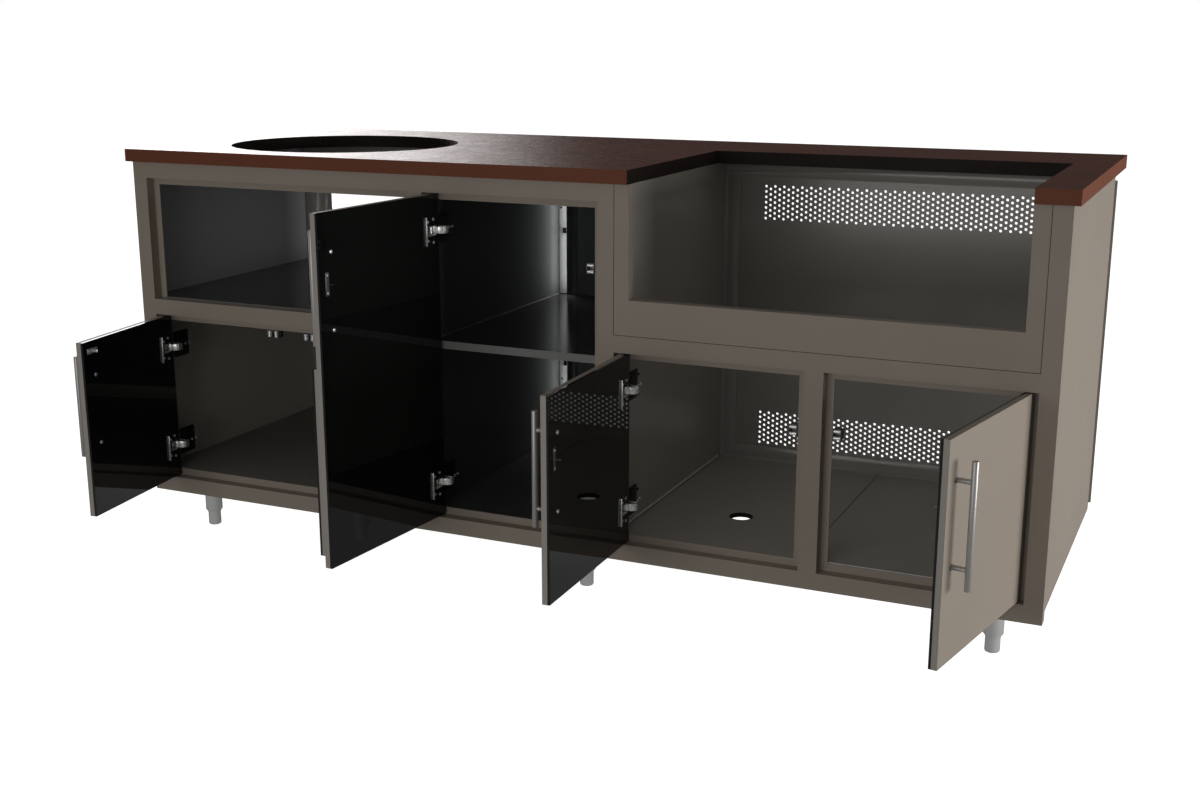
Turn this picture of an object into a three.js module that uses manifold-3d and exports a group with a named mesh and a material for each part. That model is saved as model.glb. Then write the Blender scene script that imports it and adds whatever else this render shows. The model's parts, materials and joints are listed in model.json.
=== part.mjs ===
// Outdoor kitchen island: a powder coated cabinet on six levelling legs.
// Millimetres, +Z up. X runs along the front from left to right and Y runs from front to back.
import * as THREE from 'three';
import { mergeVertices } from 'three/addons/utils/BufferGeometryUtils.js';
import Module from 'manifold-3d';

const wasm = await Module();
wasm.setup();

// Overall sizes
const BODY_LENGTH = 2080;
const BODY_DEPTH = 700;
const BODY_HEIGHT = 784;
const LEG_HEIGHT = 101.6;
const COUNTER_THICKNESS = 28.8;
const COUNTER_FRONT_OVERHANG = 10;
const COUNTER_SIDE_OVERHANG = 12.5;
const COUNTER_BACK_OVERHANG = 86;
const COUNTER_SHEET = 3;

// Front frame: square tube members with a door stop lip behind their faces
const MEMBER = 36;
const MULLION = 38;
const REVEAL = 24;
const LIP_WIDTH = 16;
const LIP_THICKNESS = 3;
const SURROUND_BAR = 73;
const KAMADO_BAY_WIDTH = 692;
const KAMADO_BAY_HEIGHT = 281;
const TALL_BAY_WIDTH = 405;
const RIGHT_DOORWAY_HEIGHT = 408;
const SURROUND_SIDE = 31.5;
const GRILL_OPENING_DEPTH = 512;

// Cut-outs
const KAMADO_HOLE_DIAMETER = 534;
const KAMADO_HOLE_OFFSET = 22;
const KAMADO_HOLE_Y = 333;
const HOLE_RIM = 10;
const PIPE_HOLE_DIAMETER = 50;
const PIPE_HOLE_INSET = 204;
const PIPE_HOLE_Y = 229;

// Rear frame and sheet panels
const REAR_TUBE = 33;
const REAR_LIP_WIDTH = 28;
const REAR_TOP_LIP = 9;
const SHEET = 2;
const BACK_SHEET = 2.7;
const PANEL_LAP = 20;
const SIDE_PANEL_RISE = 20;
const BACK_SIDE_LIP = 5;
const FLANGE_DROP = 17;
const SHELF_HEIGHT = 427;

// Vents: hexagonal holes in staggered columns
const VENT_PITCH = 38.1;
const VENT_HOLE = 19;
const VENT_FIELD_INSET = 91;
const VENT_FIELD_HEIGHT = 76.2;
const UPPER_VENT_DROP = 105;
const LOWER_VENT_RISE = 126;
const VENT_SIDES = 6;

// Doors
const DOOR_THICKNESS = 16;
const DOOR_SKIN = 1.5;
const DOOR_GAP = 3;
const PIVOT_INSET = 14;
const PIVOT_DEPTH = 5;

// Door angles of the photographed pose, in degrees from closed
const LEFT_DOOR_ANGLE = 82.5;
const LEFT_PAIR_DOOR_ANGLE = 89.4;
const TALL_DOOR_ANGLE = 94.3;
const RIGHT_DOOR_ANGLE = 88.7;
const FAR_RIGHT_DOOR_ANGLE = 79;

// Handles
const HANDLE_LENGTH = 226;
const HANDLE_DIAMETER = 12;
const HANDLE_POST_SPACING = 152;
const HANDLE_POST_DIAMETER = 9;
const HANDLE_STANDOFF = 30;
const HANDLE_EDGE_INSET = 38;
const HANDLE_TOP_DROP = 39.5;

// Concealed hinges
const HINGE_END_INSET = 76;
const HINGE_PIN_RADIUS = 1.6;
const HINGE_EYE_RADIUS = 3.2;
const HINGE_PIN_CLEARANCE = 0.3;
const HINGE_ARM_HALF_HEIGHT = 8;
const HINGE_ARM_HALF_WIDTH = 2;
const HINGE_ARM_REACH = 30;
const HINGE_ARM_ANGLE = 25;
const HINGE_ARM_PLATE = 4;
const HINGE_BASE_HALF_HEIGHT = 24;
const HINGE_CHEEK = 2;
const HINGE_CHEEK_WIDTH = 8;
const HINGE_FLANGE_HEIGHT = 18;
const HINGE_FLANGE_WIDTH = 22;
const HINGE_FLANGE_THICKNESS = 1.8;
const POCKET_EDGE_WALL = 1.5;
const POCKET_FLOOR = 1.2;
const POCKET_REACH = 32;

// Catches
const CATCH_WIDTH = 18;
const CATCH_HALF_HEIGHT = 11;
const CATCH_DEPTH = 24;
const CATCH_DOOR_CLEARANCE = 2;
const CATCH_BRACKET = 2;
const CATCH_BRACKET_LAP = 14;
const PAIR_CATCH_HALF_LENGTH = 15;
const LEFT_CATCH_INSET = 33;
const LEFT_PAIR_CATCH_INSET = 66;
const TALL_CATCH_DROP = 140;
const RIGHT_CATCH_DROP = 127;

// Legs
const LEG_INSET_X = 100;
const LEG_INSET_Y = 85;
const MIDDLE_LEG_OFFSET = 66;
const LEG_TUBE_DIAMETER = 40;
const LEG_TUBE_DROP = 64;
const LEG_FLANGE_DIAMETER = 76;
const LEG_FLANGE_THICKNESS = 3;
const LEG_BORE_DIAMETER = 24;
const LEG_BORE_DEPTH = 56;
const FOOT_DIAMETER = 30;
const FOOT_COLLAR_DIAMETER = 35;
const FOOT_TAPER = 6;
const FOOT_CHAMFER = 3;
const FOOT_STEM_LENGTH = 52;

// Clearances: the seat gap between touching pieces and the overrun of a cut past a face
const SEAT_GAP = 0.3;
const OVERRUN = 5;

// Facet counts
const HOLE_STEPS = 56;
const ROUND_STEPS = 14;
const SMALL_ROUND_STEPS = 8;
const LEG_STEPS = 16;

// Materials
const finish = (color, roughness, metalness) =>
  new THREE.MeshStandardMaterial({ color, roughness, metalness });
const taupePaint = finish(0x7d756c, 0.5, 0.2);
const innerPaint = finish(0x1b1a19, 0.35, 0.3);
const counterPaint = finish(0x5a2f20, 0.3, 0.4);
const brushedSteel = finish(0xb9b9b7, 0.35, 0.9);
const hingeSteel = finish(0x8c8c8c, 0.3, 0.9);

// Levels and lines that the pieces share
const bodyBottom = LEG_HEIGHT;
const bodyTop = LEG_HEIGHT + BODY_HEIGHT;
const topRailBottom = bodyTop - MEMBER;
const bottomRailTop = bodyBottom + MEMBER;
const floorTop = bottomRailTop + LIP_WIDTH;
const kamadoBayBottom = topRailBottom - KAMADO_BAY_HEIGHT;
const leftDoorwayTop = kamadoBayBottom - MEMBER;
const rightDoorwayTop = bottomRailTop + RIGHT_DOORWAY_HEIGHT;
const surroundBottom = rightDoorwayTop + MEMBER;
const grillOpeningBottom = surroundBottom + SURROUND_BAR;
const frameBack = REVEAL + LIP_THICKNESS;
const rearFrameBack = BODY_DEPTH - BACK_SHEET - SEAT_GAP;
const rearFrameFront = rearFrameBack - REAR_TUBE;
const leftBayStart = MEMBER;
const leftBayEnd = leftBayStart + KAMADO_BAY_WIDTH;
const tallBayStart = leftBayEnd + MEMBER;
const tallBayEnd = tallBayStart + TALL_BAY_WIDTH;
const rightBayStart = tallBayEnd + MEMBER;
const rightBayEnd = BODY_LENGTH - MEMBER;
const rightDoorwayWidth = (rightBayEnd - rightBayStart - MULLION) / 2;
const mullionStart = rightBayStart + rightDoorwayWidth;
const mullionEnd = mullionStart + MULLION;
const grillOpeningStart = rightBayStart + SURROUND_SIDE;
const grillOpeningEnd = rightBayEnd - SURROUND_SIDE;
const kamadoHoleX = (leftBayStart + leftBayEnd) / 2 - KAMADO_HOLE_OFFSET;
const pipeHoleX = rightBayStart + PIPE_HOLE_INSET;
const middleLegX = BODY_LENGTH / 2 + MIDDLE_LEG_OFFSET;

// Doorways of the front frame, and the bays behind them
const leftDoorway = { x0: leftBayStart, x1: leftBayEnd, z0: bottomRailTop, z1: leftDoorwayTop };
const kamadoBay = { x0: leftBayStart, x1: leftBayEnd, z0: kamadoBayBottom, z1: topRailBottom };
const tallDoorway = { x0: tallBayStart, x1: tallBayEnd, z0: bottomRailTop, z1: topRailBottom };
const rightDoorway = { x0: rightBayStart, x1: mullionStart, z0: bottomRailTop, z1: rightDoorwayTop };
const farRightDoorway = { x0: mullionEnd, x1: rightBayEnd, z0: bottomRailTop, z1: rightDoorwayTop };
const grillBay = { x0: rightBayStart, x1: rightBayEnd, z0: surroundBottom, z1: bodyTop };

// Solid helpers
function solidOf(geometry) {
  const bare = new THREE.BufferGeometry();
  bare.setAttribute('position', geometry.getAttribute('position').clone());
  if (geometry.index) bare.setIndex(geometry.index.clone());
  const merged = mergeVertices(bare);
  const vertProperties = new Float32Array(merged.getAttribute('position').array);
  const triVerts = new Uint32Array(merged.index.array);
  return new wasm.Manifold(new wasm.Mesh({ numProp: 3, vertProperties, triVerts }));
}

function geometryOf(solid) {
  const mesh = solid.getMesh();
  const geometry = new THREE.BufferGeometry();
  geometry.setAttribute('position', new THREE.BufferAttribute(new Float32Array(mesh.vertProperties), 3));
  geometry.setIndex(new THREE.BufferAttribute(new Uint32Array(mesh.triVerts), 1));
  geometry.computeVertexNormals();
  return geometry;
}

const joined = (first, ...rest) => rest.reduce((sum, solid) => sum.add(solid), first);
const cutBy = (first, ...rest) => rest.reduce((sum, solid) => sum.subtract(solid), first);

function block(x0, x1, y0, y1, z0, z1) {
  const box = new THREE.BoxGeometry(Math.abs(x1 - x0), Math.abs(y1 - y0), Math.abs(z1 - z0));
  box.translate((x0 + x1) / 2, (y0 + y1) / 2, (z0 + z1) / 2);
  return solidOf(box);
}

function upright(radius, x, y, z0, z1, steps) {
  const cylinder = new THREE.CylinderGeometry(radius, radius, z1 - z0, steps);
  cylinder.rotateX(Math.PI / 2);
  cylinder.translate(x, y, (z0 + z1) / 2);
  return solidOf(cylinder);
}

function outline(points) {
  return new THREE.Shape(points.map(([x, y]) => new THREE.Vector2(x, y)));
}

// A doorway's cut through a plate that lies between y0 and y1, inset by the lips on its sides
function doorwayCut(bay, y0, y1, side, top, bottom) {
  return block(bay.x0 + side, bay.x1 - side, y0 - OVERRUN, y1 + OVERRUN, bay.z0 + bottom, bay.z1 - top);
}

// A flat outline in X and Z, given thickness from y0 to y1
function plateXZ(points, y0, y1) {
  const plate = new THREE.ExtrudeGeometry(outline(points), { depth: y1 - y0, bevelEnabled: false });
  plate.rotateX(Math.PI / 2);
  plate.translate(0, y1, 0);
  return solidOf(plate);
}

// A flat outline in X and Y, given height from z0 to z1
function plateXY(points, z0, z1) {
  const plate = new THREE.ExtrudeGeometry(outline(points), { depth: z1 - z0, bevelEnabled: false });
  plate.translate(0, 0, z0);
  return solidOf(plate);
}

function turned(points, x, y) {
  const profile = points.map(([radius, z]) => new THREE.Vector2(radius, z));
  const lathe = new THREE.LatheGeometry(profile.reverse(), LEG_STEPS);
  lathe.rotateX(Math.PI / 2);
  lathe.translate(x, y, 0);
  return solidOf(lathe);
}

const island = new THREE.Group();

function addMesh(name, solid, material, parent = island) {
  const mesh = new THREE.Mesh(geometryOf(solid), material);
  mesh.name = name;
  parent.add(mesh);
  return mesh;
}

// Countertop: a folded tray with a grill notch, a round kamado hole and ribs above the cabinet walls
function countertop() {
  const x0 = -COUNTER_SIDE_OVERHANG;
  const x1 = BODY_LENGTH + COUNTER_SIDE_OVERHANG;
  const y0 = -COUNTER_FRONT_OVERHANG;
  const y1 = BODY_DEPTH + COUNTER_BACK_OVERHANG;
  const z0 = bodyTop + SEAT_GAP;
  const z1 = bodyTop + COUNTER_THICKNESS;
  const slab = block(x0, x1, y0, y1, z0, z1);
  const notch = block(grillOpeningStart, grillOpeningEnd, y0 - OVERRUN, GRILL_OPENING_DEPTH,
    z0 - OVERRUN, z1 + OVERRUN);
  const holeAt = (radius, low, high) => upright(radius, kamadoHoleX, KAMADO_HOLE_Y, low, high, HOLE_STEPS);
  const hole = holeAt(KAMADO_HOLE_DIAMETER / 2, z0 - OVERRUN, z1 + OVERRUN);
  const hollow = (a, b, c, d) => block(a, b, c, d, z0 - OVERRUN, z1 - COUNTER_SHEET);
  const rimmedHole = holeAt(KAMADO_HOLE_DIAMETER / 2 + HOLE_RIM, z0 - OVERRUN, z1 + OVERRUN);
  const leftHollow = cutBy(hollow(leftBayStart, leftBayEnd, frameBack, rearFrameFront), rimmedHole);
  const tallHollow = hollow(tallBayStart, tallBayEnd, frameBack, rearFrameFront);
  const grillBackHollow = hollow(rightBayStart + LIP_WIDTH, rightBayEnd - LIP_WIDTH,
    GRILL_OPENING_DEPTH + HOLE_RIM, rearFrameFront);
  const backHollow = hollow(x0 + COUNTER_SHEET, x1 - COUNTER_SHEET, BODY_DEPTH + COUNTER_SHEET,
    y1 - COUNTER_SHEET);
  addMesh('countertop', cutBy(slab, notch, hole, leftHollow, tallHollow, grillBackHollow, backHollow),
    counterPaint);
}

// Front frame: welded members, with a lip that the doors and the grill surround stop against
function frontFrame() {
  const rim = [[0, bodyBottom], [BODY_LENGTH, bodyBottom], [BODY_LENGTH, bodyTop]];
  const face = plateXZ([...rim, [grillBay.x1, bodyTop], [grillBay.x1, grillBay.z0],
    [grillBay.x0, grillBay.z0], [grillBay.x0, bodyTop], [0, bodyTop]], 0, REVEAL);
  const lip = plateXZ([...rim, [grillBay.x1 - LIP_WIDTH, bodyTop],
    [grillBay.x1 - LIP_WIDTH, grillBay.z0 + LIP_WIDTH], [grillBay.x0 + LIP_WIDTH, grillBay.z0 + LIP_WIDTH],
    [grillBay.x0 + LIP_WIDTH, bodyTop], [0, bodyTop]], REVEAL, frameBack);
  const bays = [leftDoorway, kamadoBay, tallDoorway, rightDoorway, farRightDoorway];
  const faceCuts = bays.map((bay) => doorwayCut(bay, 0, REVEAL, 0, 0, 0));
  const lipCuts = bays.map((bay) => {
    const bottomLip = bay === kamadoBay ? 0 : LIP_WIDTH;
    return doorwayCut(bay, REVEAL, frameBack, LIP_WIDTH, LIP_WIDTH, bottomLip);
  });
  addMesh('front_frame', joined(cutBy(face, ...faceCuts), cutBy(lip, ...lipCuts)), taupePaint);
}

// Grill surround: the U shaped panel that a drop-in grill hangs in
function grillSurround() {
  const points = [
    [grillBay.x0 + SEAT_GAP, surroundBottom + SEAT_GAP], [grillBay.x1 - SEAT_GAP, surroundBottom + SEAT_GAP],
    [grillBay.x1 - SEAT_GAP, bodyTop], [grillOpeningEnd, bodyTop],
    [grillOpeningEnd, grillOpeningBottom], [grillOpeningStart, grillOpeningBottom],
    [grillOpeningStart, bodyTop], [grillBay.x0 + SEAT_GAP, bodyTop],
  ];
  addMesh('grill_surround', plateXZ(points, 0, REVEAL - SEAT_GAP), taupePaint);
}

// Side panels: plain sheets from the front frame to the back sheets
function sidePanels() {
  const y0 = frameBack + SEAT_GAP;
  const y1 = rearFrameBack;
  const z0 = bodyBottom + SIDE_PANEL_RISE;
  addMesh('left_side_panel', block(0, SHEET, y0, y1, z0, bodyTop), taupePaint);
  addMesh('right_side_panel', block(BODY_LENGTH - SHEET, BODY_LENGTH, y0, y1, z0, bodyTop), taupePaint);
}

// Dividers: folded channels as thick as a frame member, open towards the back
function divider(name, x0) {
  const x1 = x0 + MEMBER;
  const y0 = frameBack + SEAT_GAP;
  const y1 = rearFrameFront - SEAT_GAP;
  const points = [[x0, y0], [x1, y0], [x1, y1], [x1 - SHEET, y1], [x1 - SHEET, y0 + SHEET],
    [x0 + SHEET, y0 + SHEET], [x0 + SHEET, y1], [x0, y1]];
  addMesh(name, plateXY(points, floorTop + SEAT_GAP, bodyTop), innerPaint);
}

// Base panel: the cabinet floor with folded flanges and a hole for a gas or drain pipe
function basePanel() {
  const x0 = SHEET + SEAT_GAP;
  const x1 = BODY_LENGTH - SHEET - SEAT_GAP;
  const y0 = frameBack + SEAT_GAP;
  const y1 = rearFrameFront - SEAT_GAP;
  const underside = floorTop - SHEET;
  const flangeBottom = underside - FLANGE_DROP;
  const sheet = block(x0, x1, y0, y1, underside, floorTop);
  const frontFlange = block(x0, x1, y0, y0 + SHEET, flangeBottom, floorTop);
  const rearFlange = block(x0, x1, y1 - SHEET, y1, flangeBottom, floorTop);
  const pipeHole = upright(PIPE_HOLE_DIAMETER / 2, pipeHoleX, PIPE_HOLE_Y, underside - OVERRUN,
    floorTop + OVERRUN, ROUND_STEPS);
  addMesh('base_panel', cutBy(joined(sheet, frontFlange, rearFlange), pipeHole), innerPaint);
}

// Shelves: sheets with a folded front edge
function shelf(name, x0, x1, top) {
  const y0 = frameBack + SEAT_GAP;
  const y1 = rearFrameFront - SEAT_GAP;
  const sheet = block(x0 + SEAT_GAP, x1 - SEAT_GAP, y0, y1, top - SHEET, top);
  const fold = block(x0 + SEAT_GAP, x1 - SEAT_GAP, y0, y0 + SHEET, top - FLANGE_DROP, top);
  addMesh(name, joined(sheet, fold), innerPaint);
}

// Rear frame: welded members with lips that the back panels screw to; the kamado bay stays open
const rearBayBottom = floorTop;
const rearTop = bodyTop - MEMBER;
const rearBays = [
  { x0: leftBayStart, x1: leftBayEnd, z0: rearBayBottom, z1: leftDoorwayTop, top: REAR_LIP_WIDTH,
    bottom: REAR_LIP_WIDTH },
  { x0: leftBayStart, x1: leftBayEnd, z0: kamadoBayBottom, z1: rearTop, top: REAR_TOP_LIP, bottom: 0 },
  { x0: tallBayStart, x1: tallBayEnd, z0: rearBayBottom, z1: rearTop, top: REAR_TOP_LIP,
    bottom: REAR_LIP_WIDTH },
  { x0: rightBayStart, x1: rightBayEnd, z0: rearBayBottom, z1: rearTop, top: REAR_TOP_LIP,
    bottom: REAR_LIP_WIDTH },
];

function rearFrame() {
  const z0 = bodyBottom + SIDE_PANEL_RISE;
  const x0 = SHEET + SEAT_GAP;
  const x1 = BODY_LENGTH - x0;
  const rim = [[x0, z0], [x1, z0], [x1, bodyTop], [x0, bodyTop]];
  const lipFront = rearFrameBack - LIP_THICKNESS;
  const tubes = cutBy(plateXZ(rim, rearFrameFront, lipFront),
    ...rearBays.map((bay) => doorwayCut(bay, rearFrameFront, lipFront, 0, 0, 0)));
  const lips = cutBy(plateXZ(rim, lipFront, rearFrameBack),
    ...rearBays.map((bay) => doorwayCut(bay, lipFront, rearFrameBack, REAR_LIP_WIDTH, bay.top, bay.bottom)));
  addMesh('rear_frame', joined(tubes, lips), innerPaint);
}

// Back panels: one L shaped sheet round the kamado bay, and one vented sheet behind the grill.
// Both stand out a little past the side panels.
function backPanels() {
  const y0 = BODY_DEPTH - BACK_SHEET;
  const panelBottom = rearBayBottom - LIP_WIDTH;
  const panelTop = bodyTop - PANEL_LAP;
  const rightSeam = rightBayStart - MEMBER / 2;
  const left = [
    [-BACK_SIDE_LIP, panelBottom], [rightSeam - SEAT_GAP, panelBottom], [rightSeam - SEAT_GAP, panelTop],
    [leftBayEnd + PANEL_LAP, panelTop], [leftBayEnd + PANEL_LAP, leftDoorwayTop + PANEL_LAP],
    [-BACK_SIDE_LIP, leftDoorwayTop + PANEL_LAP],
  ];
  addMesh('left_back_panel', plateXZ(left, y0, BODY_DEPTH), taupePaint);
  const right = block(rightSeam + SEAT_GAP, BODY_LENGTH + BACK_SIDE_LIP, y0, BODY_DEPTH, panelBottom,
    panelTop);
  addMesh('vented_back_panel', cutBy(right, ...ventHoles(bodyTop - UPPER_VENT_DROP),
    ...ventHoles(bodyBottom + LOWER_VENT_RISE)), taupePaint);
}

function ventHoles(centreZ) {
  const centreX = (rightBayStart + rightBayEnd) / 2;
  const columnStep = VENT_PITCH * Math.sin(Math.PI / 3);
  const fieldLength = rightBayEnd - rightBayStart - 2 * VENT_FIELD_INSET;
  const columns = 2 * Math.floor(fieldLength / columnStep / 2) + 1;
  const rows = Math.round(VENT_FIELD_HEIGHT / VENT_PITCH) + 1;
  const holes = [];
  for (let column = 0; column < columns; column += 1) {
    const inColumn = column % 2 === 0 ? rows : rows - 1;
    const x = centreX + (column - (columns - 1) / 2) * columnStep;
    for (let row = 0; row < inColumn; row += 1) {
      const z = centreZ + (row - (inColumn - 1) / 2) * VENT_PITCH;
      const hole = new THREE.CylinderGeometry(VENT_HOLE / 2, VENT_HOLE / 2, BACK_SHEET + OVERRUN, VENT_SIDES);
      hole.translate(x, BODY_DEPTH - BACK_SHEET / 2, z);
      holes.push(solidOf(hole));
    }
  }
  return holes;
}

// Doors. Each door is drawn closed in a group whose origin is its hinge axis, at the doorway's floor.
// Along a door, u runs from the hinge axis towards the free edge and v from the front to the back.
const doorBlock = (side, u0, u1, v0, v1, z0, z1) => block(side * u0, side * u1, v0, v1, z0, z1);

function doorSlab(side, width, height, hingeHeights) {
  const u0 = -PIVOT_INSET;
  const u1 = width - PIVOT_INSET;
  const v0 = -PIVOT_DEPTH;
  const v1 = DOOR_THICKNESS - PIVOT_DEPTH;
  const shell = doorBlock(side, u0, u1, v0, v1, DOOR_GAP, DOOR_GAP + height);
  const inside = doorBlock(side, u0 + DOOR_SKIN, u1 - DOOR_SKIN, v0 + DOOR_SKIN, v1 - DOOR_SKIN,
    DOOR_GAP + DOOR_SKIN, DOOR_GAP + height - DOOR_SKIN);
  const pocketHalf = HINGE_ARM_HALF_HEIGHT + HINGE_CHEEK + SEAT_GAP + SEAT_GAP + SEAT_GAP;
  const pockets = hingeHeights.map((z) => doorBlock(side, u0 + POCKET_EDGE_WALL, POCKET_REACH,
    v0 + POCKET_FLOOR, v1 + OVERRUN, z - pocketHalf, z + pocketHalf));
  return cutBy(shell, inside, ...pockets);
}

function doorHandle(side, width, height) {
  const u = width - PIVOT_INSET - HANDLE_EDGE_INSET;
  const v = -PIVOT_DEPTH - HANDLE_STANDOFF;
  const z1 = DOOR_GAP + height - HANDLE_TOP_DROP;
  const z0 = z1 - HANDLE_LENGTH;
  const bar = upright(HANDLE_DIAMETER / 2, side * u, v, z0, z1, ROUND_STEPS);
  const posts = [-1, 1].map((end) => {
    const length = HANDLE_STANDOFF - SEAT_GAP;
    const radius = HANDLE_POST_DIAMETER / 2;
    const post = new THREE.CylinderGeometry(radius, radius, length, SMALL_ROUND_STEPS);
    post.translate(side * u, v + length / 2, (z0 + z1 + end * HANDLE_POST_SPACING) / 2);
    return solidOf(post);
  });
  return joined(bar, ...posts);
}

// Hinge cup: two flanges on the door's inner face, cheeks in the pocket and the pin between them
function hingeCup(side, z) {
  const v1 = DOOR_THICKNESS - PIVOT_DEPTH;
  const cheekStart = HINGE_ARM_HALF_HEIGHT + SEAT_GAP;
  const cheekEnd = cheekStart + HINGE_CHEEK;
  const flangeEnd = cheekEnd + HINGE_FLANGE_HEIGHT;
  const face = v1 + SEAT_GAP;
  const pin = upright(HINGE_PIN_RADIUS, 0, 0, z - cheekEnd, z + cheekEnd, SMALL_ROUND_STEPS);
  const halves = [-1, 1].flatMap((end) => [
    doorBlock(side, -HINGE_CHEEK_WIDTH / 2, HINGE_FLANGE_WIDTH, -HINGE_EYE_RADIUS,
      face + HINGE_FLANGE_THICKNESS, z + end * cheekStart, z + end * cheekEnd),
    doorBlock(side, -HINGE_CHEEK_WIDTH / 2, HINGE_FLANGE_WIDTH, face, face + HINGE_FLANGE_THICKNESS,
      z + end * cheekStart, z + end * flangeEnd),
  ]);
  return joined(pin, ...halves);
}

// Hinge arm: a hooked arm from a base plate behind the stile to the eye on the hinge axis
function hingeArm(side, z) {
  const angle = THREE.MathUtils.degToRad(HINGE_ARM_ANGLE);
  const along = new THREE.Vector2(Math.cos(angle), Math.sin(angle));
  const across = new THREE.Vector2(-along.y, along.x).multiplyScalar(HINGE_ARM_HALF_WIDTH);
  const elbow = along.clone().multiplyScalar(HINGE_ARM_REACH);
  const baseFront = frameBack - PIVOT_DEPTH + SEAT_GAP;
  const baseBack = baseFront + HINGE_ARM_PLATE;
  const hookInner = elbow.x - HINGE_ARM_HALF_WIDTH;
  const hookOuter = elbow.x + HINGE_ARM_HALF_WIDTH;
  const start = -PIVOT_INSET - DOOR_GAP;
  const riseAt = (u, offset) => (u - offset.x) * (along.y / along.x) + offset.y;
  const below = across.clone().negate();
  const points = [
    [0, riseAt(0, below)], [hookOuter, riseAt(hookOuter, below)], [hookOuter, baseBack],
    [start, baseBack], [start, baseFront], [hookInner, baseFront], [hookInner, riseAt(hookInner, across)],
    [0, riseAt(0, across)],
  ];
  const hook = plateXY(points.map(([u, v]) => [side * u, v]), z - HINGE_ARM_HALF_HEIGHT,
    z + HINGE_ARM_HALF_HEIGHT);
  const eye = upright(HINGE_EYE_RADIUS, 0, 0, z - HINGE_ARM_HALF_HEIGHT, z + HINGE_ARM_HALF_HEIGHT,
    ROUND_STEPS);
  const base = doorBlock(side, start, LIP_WIDTH - PIVOT_INSET, baseFront, baseBack,
    z - HINGE_BASE_HALF_HEIGHT, z + HINGE_BASE_HALF_HEIGHT);
  const bore = upright(HINGE_PIN_RADIUS + HINGE_PIN_CLEARANCE, 0, 0, z - HINGE_BASE_HALF_HEIGHT,
    z + HINGE_BASE_HALF_HEIGHT, SMALL_ROUND_STEPS);
  return cutBy(joined(hook, eye, base), bore);
}

function addDoor({ name, doorway, side, width, angle }) {
  const height = doorway.z1 - doorway.z0 - 2 * DOOR_GAP;
  const hingeX = side > 0 ? doorway.x0 + DOOR_GAP + PIVOT_INSET : doorway.x1 - DOOR_GAP - PIVOT_INSET;
  const hingeHeights = [DOOR_GAP + height - HINGE_END_INSET, DOOR_GAP + HINGE_END_INSET];
  const swung = new THREE.Group();
  swung.position.set(hingeX, PIVOT_DEPTH, doorway.z0);
  swung.rotation.z = -side * THREE.MathUtils.degToRad(angle);
  const fixed = new THREE.Group();
  fixed.position.copy(swung.position);
  island.add(swung, fixed);
  addMesh(`${name}_door`, doorSlab(side, width, height, hingeHeights), taupePaint, swung);
  addMesh(`${name}_handle`, doorHandle(side, width, height), brushedSteel, swung);
  hingeHeights.forEach((z, index) => {
    const level = index === 0 ? 'upper' : 'lower';
    addMesh(`${name}_${level}_hinge_cup`, hingeCup(side, z), hingeSteel, swung);
    addMesh(`${name}_${level}_hinge_arm`, hingeArm(side, z), hingeSteel, fixed);
  });
}

// Catches: small blocks on a bracket behind the lip. The profile runs out from the doorway's edge.
function catchProfile() {
  const front = DOOR_THICKNESS + CATCH_DOOR_CLEARANCE;
  const bracketFront = frameBack + SEAT_GAP;
  const blockStart = LIP_WIDTH + SEAT_GAP;
  return [
    [LIP_WIDTH - CATCH_BRACKET_LAP, bracketFront], [blockStart, bracketFront], [blockStart, front],
    [blockStart + CATCH_WIDTH, front], [blockStart + CATCH_WIDTH, front + CATCH_DEPTH],
    [blockStart, front + CATCH_DEPTH], [blockStart, bracketFront + CATCH_BRACKET],
    [LIP_WIDTH - CATCH_BRACKET_LAP, bracketFront + CATCH_BRACKET],
  ];
}

function stileCatch(name, edgeX, side, centreZ) {
  const points = catchProfile().map(([out, y]) => [edgeX + side * out, y]);
  const z0 = centreZ - CATCH_HALF_HEIGHT;
  addMesh(name, plateXY(points, z0, z0 + 2 * CATCH_HALF_HEIGHT), brushedSteel);
}

function railCatch(name, centreX) {
  const points = catchProfile().map(([out, y]) => [y, leftDoorwayTop - out]);
  const depth = 2 * PAIR_CATCH_HALF_LENGTH;
  const bar = new THREE.ExtrudeGeometry(outline(points), { depth, bevelEnabled: false });
  bar.applyMatrix4(new THREE.Matrix4().makeBasis(new THREE.Vector3(0, 1, 0), new THREE.Vector3(0, 0, 1),
    new THREE.Vector3(1, 0, 0)));
  bar.translate(centreX - PAIR_CATCH_HALF_LENGTH, 0, 0);
  addMesh(name, solidOf(bar), brushedSteel);
}

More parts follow.
